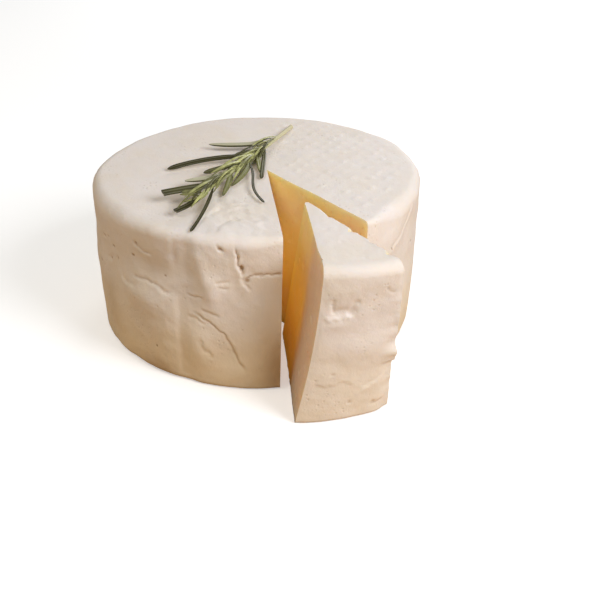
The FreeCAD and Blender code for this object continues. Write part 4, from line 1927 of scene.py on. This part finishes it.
@dataclass
class Sprig:
    """The rosemary sprig: a stem, needles set one by one, and broad young leaves along the stem."""

    wheel: Wheel
    stem_path: tuple[Triple, ...] = (
        (14.0, 54.0, 1.0), (4.0, 26.0, 2.4), (-12.5, -16.5, 3.9), (-24.0, -46.5, 4.6))
    stem_radius_cut: float = 1.05
    stem_radius_tip: float = 0.7
    stem_points: int = 60
    needle_points: int = 24
    needles: tuple[Needle, ...] = (
        Needle(0.25, 191, 31, 3.5, 1.0, 3.0, 0.3, -176, 0.05, taper=3.0),
        Needle(0.38, 204, 13, 2.4, -0.3, -1.3, 0.2, 0, 0.12),
        Needle(0.46, 197, 41, 3.3, -1.9, -3.0, 0.6, 10, 0.0),
        Needle(0.42, 201, 20, 2.4, -0.6, -0.6, 0.4, 0, 0.2),
        Needle(0.54, 213, 22, 3.0, -0.8, 0.3, 0.3, 15, 0.15),
        Needle(0.69, 207, 22, 3.2, 0.3, 2.0, 0.3, -168, 0.1, taper=2.5),
        Needle(0.83, 210, 25, 3.9, 1.2, 0.0, 0.2, 15, 0.06, True),
        Needle(0.97, 231, 15, 3.2, -1.6, 1.0, 0.0, 0, 0.0, True),
        Needle(0.85, 261, 39, 1.6, -3.8, 1.3, 0.2, 0, 0.0),
        Needle(0.52, 283, 44, 1.3, -2.6, -1.2, 0.4, 0, 0.0, sway=1.3),
        Needle(0.33, 270, 36, 2.0, -1.5, 0.2, 0.3, 0, 0.08),
        Needle(0.68, 263, 20, 2.8, -3.0, 0.5, 0.0, 20, 0.35, taper=5.0),
        Needle(0.49, 257, 30, 2.6, -1.8, 2.0, 0.3, 25, 0.3, taper=6.0),
        Needle(0.36, 257, 17, 2.2, -1.3, 1.0, 0.3, 0, 0.25, taper=4.0),
        Needle(0.42, 278, 20, 2.4, -2.0, 0.0, 0.2, 10, 0.45, taper=4.0),
        Needle(0.90, 241, 10, 2.2, -1.4, 0.7, 0.2, 15, 0.6),
        Needle(0.94, 185, 9.5, 2.0, 0.9, -1.6, 0.2, 30, 0.3),
        Needle(0.97, 176, 9, 1.6, 0.6, -0.6, 0.2, 10, 0.5),
        Needle(0.98, 223, 8, 1.8, 0.2, 0.3, 0.2, -20, 0.7),
    )

    def stem_at(self, shares: Array) -> Array:
        """Points on the stem's middle line.

        Args:
            shares: Shares of its length from the cut end.

        Returns:
            Places in millimetres, one row of three for each.
        """
        knots = np.array([(x, y, float(self.wheel.top_height(x, y)) + rise) for x, y, rise in self.stem_path])
        runs = np.linalg.norm(np.diff(knots, axis=0), axis=1)
        marks = np.concatenate([[0.0], np.cumsum(runs)]) / runs.sum()
        out = np.zeros((len(shares), 3))
        for index, knot in enumerate(knots):
            weight = np.ones(len(shares))
            for other, mark in enumerate(marks):
                if other != index:
                    weight = weight * (shares - mark) / (marks[index] - mark)
            out += weight[:, None] * knot
        return out

    def stem_line(self) -> dict[str, Array]:
        """The stem's middle line with its radius, thicker at the leaf joints.

        Returns:
            Places and values, one for each point.
        """
        shares = np.linspace(0.0, 1.0, self.stem_points)
        radius = self.stem_radius_cut + (self.stem_radius_tip - self.stem_radius_cut) * shares
        joints = 0.14 * np.maximum(0.0, np.cos(shares * 2 * pi * 11)) ** 4
        return {"places": self.stem_at(shares), "half_width": radius * (1 + joints) * METRES}

    def needle_line(self, needle: Needle) -> dict[str, Array]:
        """A needle's middle line with its half width and roll.

        Args:
            needle: The needle.

        Returns:
            Places and values, one for each point.
        """
        share = 1.0 - np.linspace(1.0, 0.0, self.needle_points) ** 1.4
        start = self.stem_at(np.array([needle.station]))[0]
        heading = plan_step(needle.heading)
        side = np.array([-heading[1], heading[0]])
        bulge = 4 * share * (1 - share)
        aside = needle.bow * bulge + needle.sway * np.sin(2 * pi * share)
        plan = start[:2] + (needle.length * share)[:, None] * heading + aside[:, None] * side
        base_rise = start[2] - self.wheel.top_height(start[0], start[1])
        rise = base_rise + needle.tip_rise * share + needle.arch * bulge
        z = self.wheel.top_height(plan[:, 0], plan[:, 1]) + rise
        swell = 0.42 + 0.58 * ease(share / 0.3)
        if not needle.cut:
            round_end = min(needle.taper * needle.width / needle.length, 0.8)
            to_tip = np.clip((share - 1.0 + round_end) / round_end, 0.0, 1.0)
            swell = swell * np.sqrt(np.maximum(1.0 - to_tip ** 2 * 0.98, 0.0))
        half = needle.width / 2 * swell
        return {"places": np.column_stack([plan, z]), "half_width": half * METRES,
                "roll": np.full(len(share), -radians(needle.roll)) * ease(share / 0.35),
                "tint": np.full(len(share), needle.tint)}

    def build(self, needle_finish: Material, stem_finish: Material) -> list[Piece]:
        """Make the sprig's pieces.

        Args:
            needle_finish: The needles' material.
            stem_finish: The stem's material.

        Returns:
            The stem, the needles and the young leaves.
        """
        stem = take_mesh(line_mesh("stem_line", [self.stem_line()]), stem_tree(), "rosemary_stem",
                         {"Finish": stem_finish})
        lines = line_mesh("needle_lines", [self.needle_line(needle) for needle in self.needles])
        needles = take_mesh(lines, needle_tree(), "rosemary_needles", {"Finish": needle_finish})
        young = take_mesh(line_mesh("shoot_line", [self.stem_line()]), shoot_tree(), "rosemary_young_leaves",
                          {"Finish": needle_finish})
        return [stem, needles, young]


# ------------ the studio


@dataclass(frozen=True)
class Lamp:
    """A square soft lamp aimed at the cheese: place and size in metres, level as lit brightness."""

    name: str
    place: Triple
    size: float
    level: float
    colour: Triple = (1.0, 1.0, 1.0)


@dataclass
class Studio:
    """Pale floor, soft lamps, even surroundings and the camera."""

    aim: Triple = (0.0, -0.01, 0.04)
    lamps: tuple[Lamp, ...] = (
        Lamp("window", (0.74, -0.54, 0.70), 0.50, 0.74, (0.97, 1.0, 1.05)),
        Lamp("front", (0.04, -1.00, 0.46), 0.28, 0.10, (1.0, 0.89, 0.68)),
        Lamp("side", (-1.05, 0.24, 0.20), 0.60, 0.12, (1.0, 0.80, 0.52)),
        Lamp("roof", (-0.42, -0.36, 0.98), 0.50, 0.18, (1.0, 0.94, 0.80)),
        Lamp("back", (0.25, 1.00, 0.34), 0.50, 0.28),
    )
    surround: float = 0.20
    floor_half: float = 6000.0
    floor_grey: float = 0.86
    floor_lift: float = 0.42
    floor_bounce: tuple = linear(186, 150, 104)
    camera_place: Triple = (0.0211, -0.4374, 0.2475)
    camera_pitch: float = 28.98
    camera_roll: float = 1.54
    sensor: float = 36.0
    lens: float = 59.52

    def build(self) -> None:
        """Set up floor, lamps, surroundings and camera."""
        self.make_floor()
        for lamp in self.lamps:
            self.make_lamp(lamp)
        self.make_surround()
        self.make_camera()

    def make_floor(self) -> None:
        """Lay the pale floor, which shows white where nothing shades it."""
        corners = np.array([(-1, -1, 0), (1, -1, 0), (1, 1, 0), (-1, 1, 0)]) * self.floor_half
        floor = new_mesh("floor", corners, [], [(0, 1, 2, 3)], {})
        material = bpy.data.materials.new("floor")
        material.use_nodes = True
        tree = material.node_tree
        tree.nodes.clear()
        book = Book(tree)
        seen = book.add("ShaderNodeBsdfDiffuse", {"Color": (self.floor_grey,) * 3 + (1.0,)})
        lift = book.add("ShaderNodeEmission", {"Color": (1.0, 1.0, 1.0, 1.0), "Strength": self.floor_lift})
        both = book.add("ShaderNodeAddShader", {0: seen.outputs[0], 1: lift.outputs[0]})
        bounce = book.add("ShaderNodeBsdfDiffuse", {"Color": self.floor_bounce})
        path = book.add("ShaderNodeLightPath")
        mixed = book.add("ShaderNodeMixShader", {0: path.outputs["Is Camera Ray"], 1: bounce.outputs[0],
                                                 2: both.outputs[0]})
        book.add("ShaderNodeOutputMaterial", {"Surface": mixed.outputs[0]})
        floor.data.materials.append(material)

    def make_lamp(self, lamp: Lamp) -> None:
        """Hang one soft lamp.

        Args:
            lamp: The lamp.
        """
        data = bpy.data.lights.new(lamp.name, "AREA")
        data.shape = "SQUARE"
        data.size = lamp.size
        data.color = lamp.colour
        away = Vector(self.aim) - Vector(lamp.place)
        data.energy = lamp.level * pi * pi * away.length_squared
        holder = put(lamp.name, data)
        holder.location = lamp.place
        holder.rotation_euler = away.to_track_quat("-Z", "Y").to_euler()

    def make_surround(self) -> None:
        """Light the scene evenly from all round, and show white to the camera."""
        world = bpy.data.worlds.new("surround")
        world.use_nodes = True
        bpy.context.scene.world = world
        tree = world.node_tree
        tree.nodes.clear()
        book = Book(tree)
        path = book.add("ShaderNodeLightPath")
        extra = book.times(path.outputs["Is Camera Ray"], 1.0 - self.surround)
        strength = book.plus(self.surround, extra)
        back = book.add("ShaderNodeBackground", {"Color": (1.0, 1.0, 1.0, 1.0), "Strength": strength})
        book.add("ShaderNodeOutputWorld", {"Surface": back.outputs[0]})

    def make_camera(self) -> None:
        """Set the camera at its place, pitch and roll."""
        data = bpy.data.cameras.new("camera")
        data.sensor_width = self.sensor
        data.lens = self.lens
        data.clip_start = 0.01
        data.clip_end = 50.0
        holder = put("camera", data)
        turn = Matrix.Rotation(radians(90.0 - self.camera_pitch), 4, "X")
        holder.matrix_world = (Matrix.Translation(self.camera_place) @ turn
                               @ Matrix.Rotation(radians(self.camera_roll), 4, "Z"))
        bpy.context.scene.camera = holder
        bpy.context.scene.view_settings.view_transform = "Standard"


# ------------ making it


def settle(piece: Piece, slot: Slot, *nodes: str) -> None:
    """Tie a finished piece to its body and hide the nodes that it stands for.

    Args:
        piece: The finished piece.
        slot: The record's material slot. Not used.
        nodes: The CAD nodes that it replaces.
    """
    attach(piece, BODY)
    if nodes:
        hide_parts(*nodes)
    mesh = piece.data
    mesh.calc_loop_triangles()
    log.info("%s: %d triangles", piece.name, len(mesh.loop_triangles))


def main() -> None:
    """Build the cheese, its wedge and its sprig, then the studio."""
    logging.basicConfig(level=logging.INFO, format="%(name)s %(message)s")
    effects = Effects()
    paste = PasteFinish().material(effects)
    wheel_skins = [RindFinish().material(effects), paste]
    wedge_skins = [RindFinish(name="wedge_rind", bounce_share=0.36).material(effects), paste]
    needle_finish = NeedleFinish().material(effects)
    stem_finish = StemFinish().material(effects)
    notch = Notch()
    wheel = Wheel(notch)
    imprint = imprint_tree()
    body = take_mesh(wheel.build(wheel_skins), imprint, "cheese_wheel_body", {"Finish": wheel_skins[0]})
    settle(body, Slot.RIND, "cheese_wheel")
    cut = take_mesh(Wedge(notch).build(wedge_skins), imprint, "cheese_wedge_body",
                    {"Depth": 0.00025, "Finish": wedge_skins[0]})
    settle(cut, Slot.RIND, "cheese_wedge")
    for piece in Sprig(wheel).build(needle_finish, stem_finish):
        settle(piece, Slot.LEAF, "rosemary_sprig")
    Studio().build()


if __name__ == "__main__":
    main()
